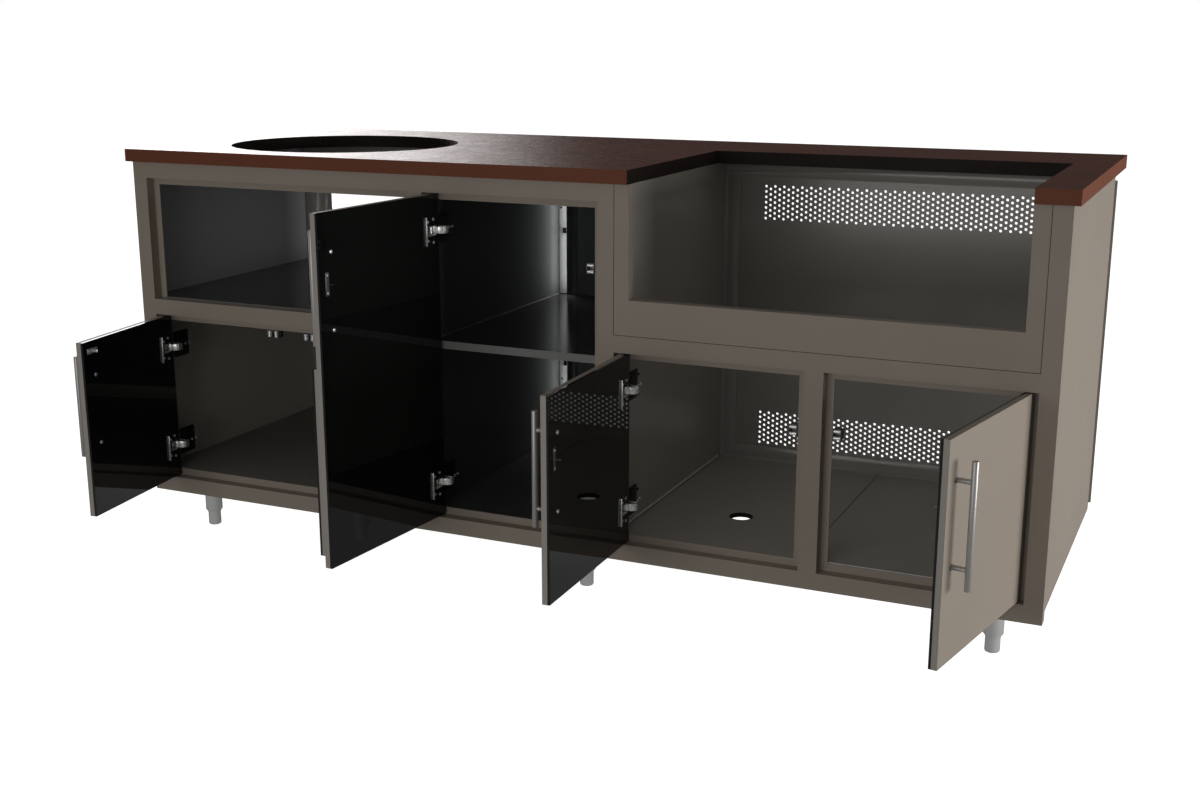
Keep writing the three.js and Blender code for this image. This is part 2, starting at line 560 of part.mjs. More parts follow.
// Legs: a flanged tube under the base panel and a levelling foot whose stem runs in its bore
function leg(name, x, y) {
  const flangeTop = floorTop - SHEET - SEAT_GAP;
  const flangeBottom = flangeTop - LEG_FLANGE_THICKNESS;
  const tubeBottom = bodyBottom - LEG_TUBE_DROP;
  const tubeRadius = LEG_TUBE_DIAMETER / 2;
  const boreRadius = LEG_BORE_DIAMETER / 2;
  const boreTop = tubeBottom + LEG_BORE_DEPTH;
  const tube = [[0, flangeTop], [LEG_FLANGE_DIAMETER / 2, flangeTop], [LEG_FLANGE_DIAMETER / 2, flangeBottom],
    [tubeRadius, flangeBottom], [tubeRadius, tubeBottom], [boreRadius, tubeBottom], [boreRadius, boreTop],
    [0, boreTop]];
  addMesh(`${name}_leg`, turned(tube, x, y), brushedSteel);
  const collarTop = tubeBottom - SEAT_GAP;
  const stemRadius = boreRadius - SEAT_GAP;
  const footRadius = FOOT_DIAMETER / 2;
  const foot = [[0, collarTop + FOOT_STEM_LENGTH], [stemRadius, collarTop + FOOT_STEM_LENGTH],
    [stemRadius, collarTop], [FOOT_COLLAR_DIAMETER / 2, collarTop], [footRadius, collarTop - FOOT_TAPER],
    [footRadius, FOOT_CHAMFER], [footRadius - FOOT_CHAMFER, 0], [0, 0]];
  addMesh(`${name}_foot`, turned(foot, x, y), brushedSteel);
}

countertop();
frontFrame();
grillSurround();
sidePanels();
divider('left_divider', leftBayEnd);
divider('right_divider', tallBayEnd);
basePanel();
shelf('kamado_shelf', SHEET, leftBayEnd, kamadoBayBottom + SHEET);
shelf('middle_shelf', tallBayStart, tallBayEnd, bodyBottom + SHELF_HEIGHT);
rearFrame();
backPanels();

const pairWidth = (KAMADO_BAY_WIDTH - 3 * DOOR_GAP) / 2;
const singleWidth = (doorway) => doorway.x1 - doorway.x0 - 2 * DOOR_GAP;
addDoor({ name: 'left', doorway: leftDoorway, side: 1, width: pairWidth, angle: LEFT_DOOR_ANGLE });
addDoor({ name: 'left_pair', doorway: leftDoorway, side: -1, width: pairWidth, angle: LEFT_PAIR_DOOR_ANGLE });
addDoor({
  name: 'tall', doorway: tallDoorway, side: 1, width: singleWidth(tallDoorway), angle: TALL_DOOR_ANGLE,
});
addDoor({
  name: 'right', doorway: rightDoorway, side: 1, width: singleWidth(rightDoorway), angle: RIGHT_DOOR_ANGLE,
});
addDoor({
  name: 'far_right', doorway: farRightDoorway, side: -1, width: singleWidth(farRightDoorway),
  angle: FAR_RIGHT_DOOR_ANGLE,
});

const pairMeeting = (leftBayStart + leftBayEnd) / 2;
railCatch('left_catch', pairMeeting - LEFT_CATCH_INSET);
railCatch('left_pair_catch', pairMeeting + LEFT_PAIR_CATCH_INSET);
stileCatch('tall_catch', tallBayEnd, -1, topRailBottom - TALL_CATCH_DROP);
stileCatch('right_catch', mullionStart, -1, rightDoorwayTop - RIGHT_CATCH_DROP);
stileCatch('far_right_catch', mullionEnd, 1, rightDoorwayTop - RIGHT_CATCH_DROP);

const legColumns = [['left', LEG_INSET_X], ['middle', middleLegX], ['right', BODY_LENGTH - LEG_INSET_X]];
for (const [column, x] of legColumns) {
  leg(`front_${column}`, x, LEG_INSET_Y);
  leg(`rear_${column}`, x, BODY_DEPTH - LEG_INSET_Y);
}

// The origin is the middle of the footprint, on the ground
island.updateMatrixWorld(true);
const bounds = new THREE.Box3().setFromObject(island);
const centre = bounds.getCenter(new THREE.Vector3());
island.position.set(-centre.x, -centre.y, -bounds.min.z);
island.updateMatrixWorld(true);

export default island;
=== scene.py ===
import json
import math

import bmesh
import bpy
from mathutils import Matrix, Vector


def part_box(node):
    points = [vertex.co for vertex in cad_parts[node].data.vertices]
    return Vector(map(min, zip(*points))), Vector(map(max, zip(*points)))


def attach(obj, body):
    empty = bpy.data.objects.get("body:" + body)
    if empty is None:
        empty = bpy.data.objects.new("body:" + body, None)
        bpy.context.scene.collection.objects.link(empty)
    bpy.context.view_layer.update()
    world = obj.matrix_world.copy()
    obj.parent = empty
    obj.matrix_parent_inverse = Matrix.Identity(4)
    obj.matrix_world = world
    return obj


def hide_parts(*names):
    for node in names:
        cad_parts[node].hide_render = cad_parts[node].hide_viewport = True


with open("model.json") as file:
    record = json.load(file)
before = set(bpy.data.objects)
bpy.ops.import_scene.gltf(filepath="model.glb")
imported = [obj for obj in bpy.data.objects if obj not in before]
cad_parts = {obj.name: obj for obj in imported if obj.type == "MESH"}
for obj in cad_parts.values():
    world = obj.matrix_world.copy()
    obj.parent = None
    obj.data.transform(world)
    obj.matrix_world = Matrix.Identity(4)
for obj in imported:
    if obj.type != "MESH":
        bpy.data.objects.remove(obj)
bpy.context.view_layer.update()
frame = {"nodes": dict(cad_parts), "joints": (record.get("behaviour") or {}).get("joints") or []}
NODES = frame["nodes"]

MM = 0.001
ORIGIN = Vector(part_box("front_frame")[0])

# Each door's pivot, its angle at rest, and the way along X that it runs from its pivot when closed
PIVOT = {}
REST_ANGLE = {}
SIDE = {}
for joint in frame["joints"]:
    if joint["type"] == "hinge":
        leaf = joint["child"]
        PIVOT[leaf] = Vector(joint["pos_m"])
        REST_ANGLE[leaf] = -joint["range_deg"][0]
        SIDE[leaf] = 1 if joint["axis"][2] < 0 else -1
DOORS = list(PIVOT)

# Sizes and places of the solids in millimetres
DOOR_THICKNESS = 16.0
DOOR_GAP = 3.0
PIVOT_INSET = 14.0
PIVOT_DEPTH = 5.0
INNER_FACE = DOOR_THICKNESS - PIVOT_DEPTH
SEAT_GAP = 0.3
FRAME_BACK = 27.0
HINGE_END_INSET = 76.0
HINGE_ARM_ANGLE = 25
HANDLE_LENGTH = 226.0
HANDLE_POST_SPACING = 152.0
HANDLE_STANDOFF = 30.0
HANDLE_EDGE_INSET = 38.0
HANDLE_TOP_DROP = 39.5
CATCH_CLEARANCE = 2
FLOOR_TOP = 52.0
PIPE_HOLE = (1409, 229)

# Sizes of the finer pieces in millimetres
PAN_EDGE = 4.8
LINER_EDGE = 1.6
LINER_THICKNESS = 0.4
LINER_OFFSET = 0.02
LINER_CORNER = 2.0
POCKET_START, POCKET_END, POCKET_HALF = 2.6, 32.4, 11.2
CUP_FRONT = INNER_FACE + SEAT_GAP
CUP_BACK = CUP_FRONT + 1.8
ARM_HALF = 7.8
ARM_BASE_FRONT = FRAME_BACK - PIVOT_DEPTH + SEAT_GAP
ARM_BASE_BACK = ARM_BASE_FRONT + 4.0
STRIKE_FACE = INNER_FACE + 0.42
STRIKE_THICKNESS = 1.4
STRIKE_PROUD = 1.5
STRIKE_DROP = 25.3
STRIKE_EDGE_INSET = 22.3
RAIL_CATCH_HEIGHT = 30

# Sides of the turned pieces
BAR_SIDES, POST_SIDES, PIN_SIDES, EYE_SIDES = 40, 24, 20, 24
SCREW_SIDES, ROLLER_SIDES, COLLAR_SIDES, LEG_SIDES = 18, 28, 48, 56

# The smallest distance in metres at which two vertices are two
WELD_DISTANCE = 1e-6

# The least part of a face's normal along the way that it faces, or on which it stands square
FACING = 0.5
SQUARE_ON = 0.9


def at(x, y, z):
    """A point given in millimetres from the body's left front bottom corner."""
    return ORIGIN + Vector((x, y, z)) * MM


# Mesh helpers
def new_object(name, mesh):
    obj = bpy.data.objects.new(name, mesh)
    bpy.context.scene.collection.objects.link(obj)
    return obj


def mesh_from(bm, name, smooth=True):
    """Turns a bmesh into a mesh, smooth but for its edges of over 35 degrees."""
    mesh = bpy.data.meshes.new(name)
    bmesh.ops.recalc_face_normals(bm, faces=bm.faces[:])
    bm.to_mesh(mesh)
    bm.free()
    if smooth:
        for polygon in mesh.polygons:
            polygon.use_smooth = True
        mesh.set_sharp_from_angle(angle=math.radians(35.0))
    return mesh


def join_into(bm, part, matrix=None):
    if matrix is not None:
        bmesh.ops.transform(part, matrix=matrix, verts=part.verts[:])
    bmesh.ops.recalc_face_normals(part, faces=part.faces[:])
    temp = bpy.data.meshes.new("temp")
    part.to_mesh(temp)
    part.free()
    bm.from_mesh(temp)
    bpy.data.meshes.remove(temp)


def round_edges(part, radius, segments=2):
    bmesh.ops.bevel(part, geom=part.edges[:], offset=radius * MM, segments=segments, profile=0.5,
                    affect="EDGES", clamp_overlap=True)


def add_box(bm, lo, hi, radius=0.0, segments=2):
    """A box between two corners in millimetres, with rounded edges."""
    size = [hi[i] - lo[i] for i in range(3)]
    centre = [(hi[i] + lo[i]) / 2 for i in range(3)]
    part = bmesh.new()
    bmesh.ops.create_cube(part, size=1.0)
    bmesh.ops.scale(part, vec=Vector(size) * MM, verts=part.verts[:])
    bmesh.ops.translate(part, vec=Vector(centre) * MM, verts=part.verts[:])
    if radius > 0:
        round_edges(part, radius, segments)
    join_into(bm, part)


def ring_of(part, radius, height, steps):
    """A ring of vertices round Z, its radius and height in millimetres."""
    ring = []
    for step in range(steps):
        angle = 2 * math.pi * step / steps
        place = (radius * MM * math.cos(angle), radius * MM * math.sin(angle), height * MM)
        ring.append(part.verts.new(place))
    return ring


def lathe(bm, profile, steps, matrix=None):
    """Turns a profile of (radius, height) in millimetres round Z. It starts and ends on the axis."""
    part = bmesh.new()
    rings = []
    for radius, height in profile:
        if radius == 0:
            rings.append([part.verts.new((0, 0, height * MM))])
        else:
            rings.append(ring_of(part, radius, height, steps))
    for lower, upper in zip(rings, rings[1:]):
        for step in range(steps):
            following = (step + 1) % steps
            if len(lower) == 1:
                corners = (lower[0], upper[step], upper[following])
            elif len(upper) == 1:
                corners = (lower[step], lower[following], upper[0])
            else:
                corners = (lower[step], lower[following], upper[following], upper[step])
            part.faces.new(corners)
    join_into(bm, part, matrix)


def ring_tube(bm, section, steps, matrix=None):
    """Turns a closed section that stands clear of the axis."""
    part = bmesh.new()
    rings = [ring_of(part, radius, height, steps) for radius, height in section]
    for index, ring in enumerate(rings):
        following = rings[(index + 1) % len(rings)]
        for i in range(steps):
            j = (i + 1) % steps
            part.faces.new((ring[i], ring[j], following[j], following[i]))
    join_into(bm, part, matrix)


def along(axis, place):
    """A matrix that turns Z to an axis and moves to a place given in metres."""
    turn = Vector((0, 0, 1)).rotation_difference(Vector(axis)).to_matrix().to_4x4()
    return Matrix.Translation(Vector(place)) @ turn


def prism(bm, outline, low, high, axes=(0, 1, 2), bevel=0.0):
    """An outline in millimetres as a film: low and high come in metres and are scaled once more."""
    part = bmesh.new()
    layers = []
    for level in (low, high):
        layer = []
        for first, second in outline:
            co = [0.0, 0.0, 0.0]
            co[axes[0]] = first * MM
            co[axes[1]] = second * MM
            co[axes[2]] = level * MM
            layer.append(part.verts.new(co))
        layers.append(layer)
    count = len(outline)
    part.faces.new(layers[0])
    part.faces.new(layers[1])
    for i in range(count):
        j = (i + 1) % count
        part.faces.new((layers[0][i], layers[0][j], layers[1][j], layers[1][i]))
    bmesh.ops.recalc_face_normals(part, faces=part.faces[:])
    if bevel > 0:
        round_edges(part, bevel)
    join_into(bm, part)


def plate(name, outer, holes, thickness, matrix):
    """A flat sheet with holes: closed outlines in millimetres in the sheet's own X and Y."""
    curve = bpy.data.curves.new(name, "CURVE")
    curve.dimensions = "2D"
    curve.fill_mode = "BOTH"
    curve.extrude = thickness * MM / 2
    for points in [outer] + holes:
        spline = curve.splines.new("POLY")
        spline.points.add(len(points) - 1)
        for point, (x, y) in zip(spline.points, points):
            point.co = (x * MM, y * MM, 0, 1)
        spline.use_cyclic_u = True
    holder = bpy.data.objects.new(name + "_curve", curve)
    bpy.context.scene.collection.objects.link(holder)
    bpy.context.view_layer.update()
    evaluated = holder.evaluated_get(bpy.context.evaluated_depsgraph_get())
    mesh = bpy.data.meshes.new_from_object(evaluated)
    bpy.data.objects.remove(holder)
    bpy.data.curves.remove(curve)
    bm = bmesh.new()
    bm.from_mesh(mesh)
    bpy.data.meshes.remove(mesh)
    bmesh.ops.remove_doubles(bm, verts=bm.verts[:], dist=WELD_DISTANCE)
    bmesh.ops.transform(bm, matrix=matrix, verts=bm.verts[:])
    return mesh_from(bm, name)


def circle(x, y, radius, steps):
    angles = [2 * math.pi * i / steps for i in range(steps)]
    return [(x + radius * math.cos(a), y + radius * math.sin(a)) for a in angles]


def rounded_rectangle(x0, y0, x1, y1, radius, steps=4):
    points = []
    corners = [(x1 - radius, y1 - radius, 0), (x0 + radius, y1 - radius, 90),
               (x0 + radius, y0 + radius, 180), (x1 - radius, y0 + radius, 270)]
    for cx, cy, start in corners:
        for i in range(steps + 1):
            angle = math.radians(start + 90 * i / steps)
            points.append((cx + radius * math.cos(angle), cy + radius * math.sin(angle)))
    return points


def welded_copy(name, planes):
    """A bmesh of a CAD node with its triangles joined and its faces cut along planes."""
    bm = bmesh.new()
    bm.from_mesh(NODES[name].data)
    bmesh.ops.remove_doubles(bm, verts=bm.verts[:], dist=WELD_DISTANCE)
    for place, normal in planes:
        geom = bm.verts[:] + bm.edges[:] + bm.faces[:]
        bmesh.ops.bisect_plane(bm, geom=geom, plane_co=place, plane_no=normal)
    return bm


# Shader nodes, and the sockets of a mix node's two colours and its result
MIX_FIRST, MIX_SECOND, MIX_RESULT = 6, 7, 2


def srgb(tone):
    """A colour given from 0 to 255, as the linear values of a shader socket."""
    def linear(value):
        value /= 255
        return value / 12.92 if value <= 0.04045 else ((value + 0.055) / 1.055) ** 2.4
    return tuple(linear(value) for value in tone) + (1.0,)


def scaled(color, factor):
    return tuple(min(1.0, c * factor) for c in color[:3]) + (1.0,)


def node_of(tree, kind, **values):
    node = tree.nodes.new(kind)
    for key, value in values.items():
        if key.startswith("in_"):
            node.inputs[key[3:]].default_value = value
        else:
            setattr(node, key, value)
    return node


def noise_of(tree, vector, scale, detail=2.0, rough=0.5):
    node = node_of(tree, "ShaderNodeTexNoise", in_Scale=scale, in_Detail=detail, in_Roughness=rough)
    tree.links.new(vector, node.inputs["Vector"])
    return node.outputs["Fac"]


def ramp_of(tree, factor, stops):
    node = tree.nodes.new("ShaderNodeValToRGB")
    elements = node.color_ramp.elements
    for element, (position, color) in zip(elements, stops):
        element.position = position
        element.color = color
    tree.links.new(factor, node.inputs["Fac"])
    return node.outputs["Color"]


def range_of(tree, factor, low, high, from_low=0.3, from_high=0.7, blend="LINEAR"):
    node = node_of(tree, "ShaderNodeMapRange", interpolation_type=blend)
    node.inputs["From Min"].default_value = from_low
    node.inputs["From Max"].default_value = from_high
    node.inputs["To Min"].default_value = low
    node.inputs["To Max"].default_value = high
    tree.links.new(factor, node.inputs["Value"])
    return node.outputs["Result"]


def math_of(tree, operation, first, second):
    node = node_of(tree, "ShaderNodeMath", operation=operation)
    tree.links.new(first, node.inputs[0])
    tree.links.new(second, node.inputs[1])
    return node.outputs["Value"]


def bump_of(tree, height, strength, distance):
    node = node_of(tree, "ShaderNodeBump", in_Strength=strength, in_Distance=distance)
    tree.links.new(height, node.inputs["Height"])
    return node


def start_material(name):
    material = bpy.data.materials.new(name)
    material.use_nodes = True
    tree = material.node_tree
    shader = tree.nodes["Principled BSDF"]
    place = tree.nodes.new("ShaderNodeTexCoord").outputs["Object"]
    return material, tree, shader, place


# Shares and factors of a coat's grain, flecks and orange peel
GRAIN_SHARE = 0.45
GRAIN_CONTRAST = 2.2
FLECK_SCALE = 0.9
PEEL_SCALE = 0.22
PEEL_DEPTH = 1.6


def powder_coat(name, tone, rough, specular, contrast=0.03, metallic=0.0, grain=700.0,
                grain_depth=0.00006, speckle=0.0, speckle_tone=None):
    """A baked powder coat: grain and orange peel, cloudy tone, uneven gloss and mica flecks."""
    material, tree, shader, place = start_material(name)
    tone = srgb(tone)
    clouds = noise_of(tree, place, 5.0, 3.0)
    fine = noise_of(tree, place, grain)
    cloudy = ramp_of(tree, clouds, [(0.35, scaled(tone, 1 - contrast)),
                                    (0.65, scaled(tone, 1 + contrast))])
    grained = ramp_of(tree, fine, [(0.36, scaled(tone, 1 - GRAIN_CONTRAST * contrast)),
                                   (0.64, scaled(tone, 1 + GRAIN_CONTRAST * contrast))])
    mix = node_of(tree, "ShaderNodeMix", data_type="RGBA", blend_type="MIX", in_Factor=GRAIN_SHARE)
    tree.links.new(cloudy, mix.inputs[MIX_FIRST])
    tree.links.new(grained, mix.inputs[MIX_SECOND])
    color = mix.outputs[MIX_RESULT]
    if speckle > 0:
        flecks = node_of(tree, "ShaderNodeTexVoronoi", in_Scale=grain * FLECK_SCALE)
        tree.links.new(place, flecks.inputs["Vector"])
        mask = range_of(tree, flecks.outputs["Distance"], speckle, 0.0, 0.05, 0.42)
        over = node_of(tree, "ShaderNodeMix", data_type="RGBA", blend_type="MIX")
        tree.links.new(mask, over.inputs["Factor"])
        tree.links.new(color, over.inputs[MIX_FIRST])
        over.inputs[MIX_SECOND].default_value = srgb(speckle_tone)
        color = over.outputs[MIX_RESULT]
    tree.links.new(color, shader.inputs["Base Color"])
    patches = noise_of(tree, place, 14.0, 4.0)
    tree.links.new(range_of(tree, patches, *rough), shader.inputs["Roughness"])
    bump_fine = bump_of(tree, fine, 0.6, grain_depth)
    bump_peel = bump_of(tree, noise_of(tree, place, grain * PEEL_SCALE, 1.0), 0.5,
                        grain_depth * PEEL_DEPTH)
    tree.links.new(bump_fine.outputs["Normal"], bump_peel.inputs["Normal"])
    tree.links.new(bump_peel.outputs["Normal"], shader.inputs["Normal"])
    shader.inputs["Metallic"].default_value = metallic
    shader.inputs["Specular IOR Level"].default_value = specular
    return material


def brushed(name, tone, stretch, rough, metallic, depth=0.00003):
    """Brushed or plated steel: fine lines drawn out along one axis, with faint smudges."""
    material, tree, shader, place = start_material(name)
    tone = srgb(tone)
    mapping = node_of(tree, "ShaderNodeMapping", in_Scale=stretch)
    tree.links.new(place, mapping.inputs["Vector"])
    lines = noise_of(tree, mapping.outputs["Vector"], 1.0, 3.0, 0.6)
    smudges = noise_of(tree, place, 40.0, 3.0)
    lined = ramp_of(tree, lines, [(0.3, scaled(tone, 0.86)), (0.7, tone)])
    tree.links.new(lined, shader.inputs["Base Color"])
    mixed = node_of(tree, "ShaderNodeMath", operation="MULTIPLY_ADD")
    tree.links.new(lines, mixed.inputs[0])
    mixed.inputs[1].default_value = 0.5
    tree.links.new(range_of(tree, smudges, 0.2, 0.35), mixed.inputs[2])
    tree.links.new(range_of(tree, mixed.outputs["Value"], *rough), shader.inputs["Roughness"])
    bump = bump_of(tree, lines, 0.5, depth)
    tree.links.new(bump.outputs["Normal"], shader.inputs["Normal"])
    shader.inputs["Metallic"].default_value = metallic
    return material


# Coats and steels
TAUPE = powder_coat("taupe_powder_coat", (154, 143, 131), (0.42, 0.50), 0.22, contrast=0.025,
                    speckle=0.2, speckle_tone=(169, 159, 147))
COUNTER = powder_coat("copper_vein_coat", (126, 64, 40), (0.24, 0.30), 0.3, contrast=0.16,
                      metallic=0.2, grain=240.0, grain_depth=0.0010, speckle=0.35,
                      speckle_tone=(150, 92, 66))
COUNTER_EDGE = powder_coat("copper_edge_coat", (116, 67, 48), (0.46, 0.56), 0.12, contrast=0.06)
INNER = powder_coat("dark_inner_coat", (180, 174, 165), (0.22, 0.25), 0.3, metallic=0.03)
# A paler copy of the inner coat: painted light on the left cabinet's inside wall
INNER_PAINTED_LIGHT = powder_coat("inner_coat_painted_light", (214, 206, 192), (0.28, 0.33), 0.12)
KAMADO_WALL = powder_coat("kamado_bay_coat", (176, 178, 179), (0.28, 0.33), 0.12)
# Near-black shelf coat: painted shade on the shelves
SHELF_PAINTED_SHADE = powder_coat("shelf_coat_painted_shade", (50, 49, 48), (0.14, 0.17), 0.45)
# Near-black: painted shade inside the counter's cut-outs, underneath it and in the pipe hole's collar;
# also the dark seams round the grill surround
DARK_SEAM_AND_SHADE = powder_coat("dark_seam_and_painted_shade", (34, 27, 24), (0.5, 0.6), 0.1, contrast=0.08)
# Near-black copy of the inner coat: painted shade in the tall bay, on the left divider and inside the
# left back panel
INNER_PAINTED_DEEP_SHADE = powder_coat("inner_coat_painted_deep_shade", (72, 74, 74), (0.13, 0.16), 0.45)
# Darker copy of the inner coat: painted shade on the vented back wall and the rear frame's inner faces
INNER_PAINTED_SHADE = powder_coat("inner_coat_painted_shade", (146, 142, 135), (0.22, 0.25), 0.3, metallic=0.03)
# Paler coat for faces that look to the front: painted light on the shelves' front fold
FOLD_PAINTED_LIGHT = powder_coat("shelf_fold_painted_light", (124, 123, 121), (0.26, 0.3), 0.3)
# Darker copy of the inner coat: painted shade on the left cabinet's floor
LEFT_FLOOR_PAINTED_SHADE = powder_coat("left_floor_painted_shade", (138, 136, 129), (0.22, 0.25), 0.3)
# Near-white strip coat: painted light on the rod, the sill bead and the tall bay post
PAINTED_LIGHT_STRIP = brushed("painted_light_bright_strip", (236, 238, 238), (500.0, 500.0, 90.0), (0.35, 0.45), 0.0)
LINER = powder_coat("black_door_liner", (16, 16, 16), (0.015, 0.03), 0.5, contrast=0.10,
                    grain=300.0, grain_depth=0.000002)
# Paler copy of the body coat: painted highlight on the doors' end faces
DOOR_EDGE_HIGHLIGHT = powder_coat("door_edge_painted_highlight", (170, 163, 155), (0.42, 0.50), 0.22, contrast=0.025)
HANDLE_STEEL = brushed("handle_steel", (176, 174, 170), (2600.0, 2600.0, 60.0), (0.34, 0.44), 0.5)
DULL_STEEL = brushed("dull_steel", (96, 96, 95), (400.0, 400.0, 400.0), (0.35, 0.45), 0.5)
LEG_STEEL = brushed("leg_steel", (240, 240, 238), (60.0, 60.0, 1800.0), (0.16, 0.26), 0.5)
HINGE_STEEL = brushed("nickel_plate", (236, 236, 234), (300.0, 300.0, 300.0), (0.22, 0.32), 0.7,
                      depth=0.00001)
DARK_STEEL = brushed("blackened_steel", (40, 40, 40), (500.0, 500.0, 500.0), (0.35, 0.5), 0.6)


# Making and placing pieces
def paint(obj, *materials):
    obj.data.materials.clear()
    for material in materials:
        obj.data.materials.append(material)
    return obj


def finish_piece(obj, body, replaced=()):
    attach(obj, body)
    if replaced:
        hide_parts(*replaced)
    return obj


def piece(name, bm, material, body, replaced=(), matrix=None):
    """A piece of one coat, drawn in its own frame and moved by a matrix, which may mirror it."""
    obj = paint(new_object(name, mesh_from(bm, name)), material)
    if matrix is not None:
        obj.data.transform(matrix)
        if matrix.determinant() < 0:
            obj.data.flip_normals()
        obj.data.update()
    return finish_piece(obj, body, replaced)


def fixed(name, bm, material, replaced=()):
    return piece(name, bm, material, "root", replaced)


def repaint(name, material):
    NODES[name].material_slots[0].material = material


def two_tone(obj, inward, inner):
    """Coats the faces towards the cabinet's inside in one coat and the others in the body's."""
    paint(obj, TAUPE, inner)
    for polygon in obj.data.polygons:
        polygon.material_index = 1 if polygon.normal.dot(Vector(inward)) > FACING else 0
    return obj


# Camera
RIGHT = Vector((0.91225, 0.40964, 0.00104))
DOWN = Vector((0.10067, -0.22173, -0.96990))
FORWARD = Vector((-0.39708, 0.88489, -0.24351))
EYE = at(2391.7, -2710.9, 1087.5)
FOCAL_PIXELS = 1492.6
FRAME_PIXELS = 1200
SENSOR_WIDTH = 36.0

camera_data = bpy.data.cameras.new("camera")
camera_data.sensor_fit = "HORIZONTAL"
camera_data.sensor_width = SENSOR_WIDTH
camera_data.lens = FOCAL_PIXELS / FRAME_PIXELS * SENSOR_WIDTH
camera_data.clip_end = 200.0
camera = bpy.data.objects.new("camera", camera_data)
bpy.context.scene.collection.objects.link(camera)
turn = Matrix((RIGHT, -DOWN, -FORWARD)).transposed().to_4x4()
camera.matrix_world = Matrix.Translation(EYE) @ turn
bpy.context.scene.camera = camera


# Lights
def area_light(name, place, target, width, height, power):
    """A rectangle of light in metres and watts that faces a target."""
    data = bpy.data.lights.new(name, "AREA")
    data.shape = "RECTANGLE"
    data.size = width
    data.size_y = height
    data.energy = power
    obj = bpy.data.objects.new(name, data)
    bpy.context.scene.collection.objects.link(obj)
    facing = (Vector(target) - Vector(place)).to_track_quat("-Z", "Y").to_matrix().to_4x4()
    obj.matrix_world = Matrix.Translation(Vector(place)) @ facing
    return obj


area_light("right_softbox", (4.6, 0.1, 0.62), (0.9, 0.1, 0.45), 2.6, 1.25, 124)
area_light("front_softbox", (-0.6, -4.8, 0.85), (0, 0, 0.4), 3.4, 1.6, 46)
area_light("top_softbox", (0.3, -0.4, 4.2), (0, 0, 0.8), 4.5, 3.0, 7)

# The glow at the back of the tall bay, above and below its shelf: height, length and power
GLOW_WIDTH = 0.012
for name, level, length, power in (("upper", 606, 0.33, 0.34), ("lower", 232, 0.34, 0.2)):
    glow = area_light(name + "_bay_glow", at(806, 652, level), at(781, 609, level), GLOW_WIDTH,
                      length, power)
    glow.visible_glossy = False
    glow.visible_camera = False

# World: white to the camera, and a dim studio with brighter directions to every other ray
world = bpy.data.worlds.new("studio")
bpy.context.scene.world = world
world.use_nodes = True
world_tree = world.node_tree
for node in list(world_tree.nodes):
    world_tree.nodes.remove(node)
direction = world_tree.nodes.new("ShaderNodeTexCoord").outputs["Generated"]


def light_toward(axis, from_low, from_high, low, high, blend="SMOOTHSTEP"):
    """Brightness that grows from low to high as a ray turns to an axis."""
    toward = node_of(world_tree, "ShaderNodeVectorMath", operation="DOT_PRODUCT")
    toward.inputs[1].default_value = Vector(axis).normalized()
    world_tree.links.new(direction, toward.inputs[0])
    return range_of(world_tree, toward.outputs["Value"], low, high, from_low, from_high, blend)


front = light_toward((-0.2, -0.95, 0.2), -0.5, 0.9, 0.05, 0.14, "LINEAR")
left_lobe = light_toward((-0.80, 0.60, 0.10), 0.88, 0.975, 0.0, 4.0)
back_lobe = light_toward((0.42, 0.90, -0.15), 0.975, 0.992, 0.0, 0.24)
lobes = math_of(world_tree, "ADD", left_lobe, back_lobe)
around = math_of(world_tree, "ADD", front, lobes)

# The pale floor that glossy coats mirror, below the horizon
path = world_tree.nodes.new("ShaderNodeLightPath")
height = world_tree.nodes.new("ShaderNodeSeparateXYZ")
world_tree.links.new(direction, height.inputs["Vector"])
below = range_of(world_tree, height.outputs["Z"], 0.0, 0.13, 0.0, -0.3)
mirrored = math_of(world_tree, "MULTIPLY", below, path.outputs["Is Glossy Ray"])
lit = node_of(world_tree, "ShaderNodeBackground", in_Color=(1, 1, 1, 1))
world_tree.links.new(math_of(world_tree, "ADD", around, mirrored), lit.inputs["Strength"])
seen = node_of(world_tree, "ShaderNodeBackground", in_Color=(1, 1, 1, 1), in_Strength=1.0)
choose = world_tree.nodes.new("ShaderNodeMixShader")
world_tree.links.new(path.outputs["Is Camera Ray"], choose.inputs["Fac"])
world_tree.links.new(lit.outputs["Background"], choose.inputs[1])
world_tree.links.new(seen.outputs["Background"], choose.inputs[2])
world_out = world_tree.nodes.new("ShaderNodeOutputWorld")
world_tree.links.new(choose.outputs["Shader"], world_out.inputs["Surface"])

# Studio floor
stage_bm = bmesh.new()
bmesh.ops.create_grid(stage_bm, x_segments=1, y_segments=1, size=30.0)
floor = new_object("studio_floor", mesh_from(stage_bm, "studio_floor", smooth=False))
floor_material, floor_tree, floor_shader, floor_place = start_material("studio_floor_white")
floor_tone = ramp_of(floor_tree, noise_of(floor_tree, floor_place, 0.6),
                     [(0.3, (0.93, 0.93, 0.93, 1)), (0.7, (0.95, 0.95, 0.95, 1))])
floor_tree.links.new(floor_tone, floor_shader.inputs["Base Color"])
floor_shader.inputs["Roughness"].default_value = 0.9
floor_shader.inputs["Emission Color"].default_value = (1, 1, 1, 1)
floor_shader.inputs["Emission Strength"].default_value = 0.95
paint(floor, floor_material)
floor.visible_diffuse = False
floor.visible_glossy = False
bpy.context.scene.view_settings.view_transform = "Standard"

# CAD pieces that stay, in new coats
repaint("front_frame", TAUPE)
repaint("grill_surround", TAUPE)
# The left divider is near-black all over, as painted shade
repaint("left_divider", INNER_PAINTED_DEEP_SHADE)
repaint("right_divider", INNER)


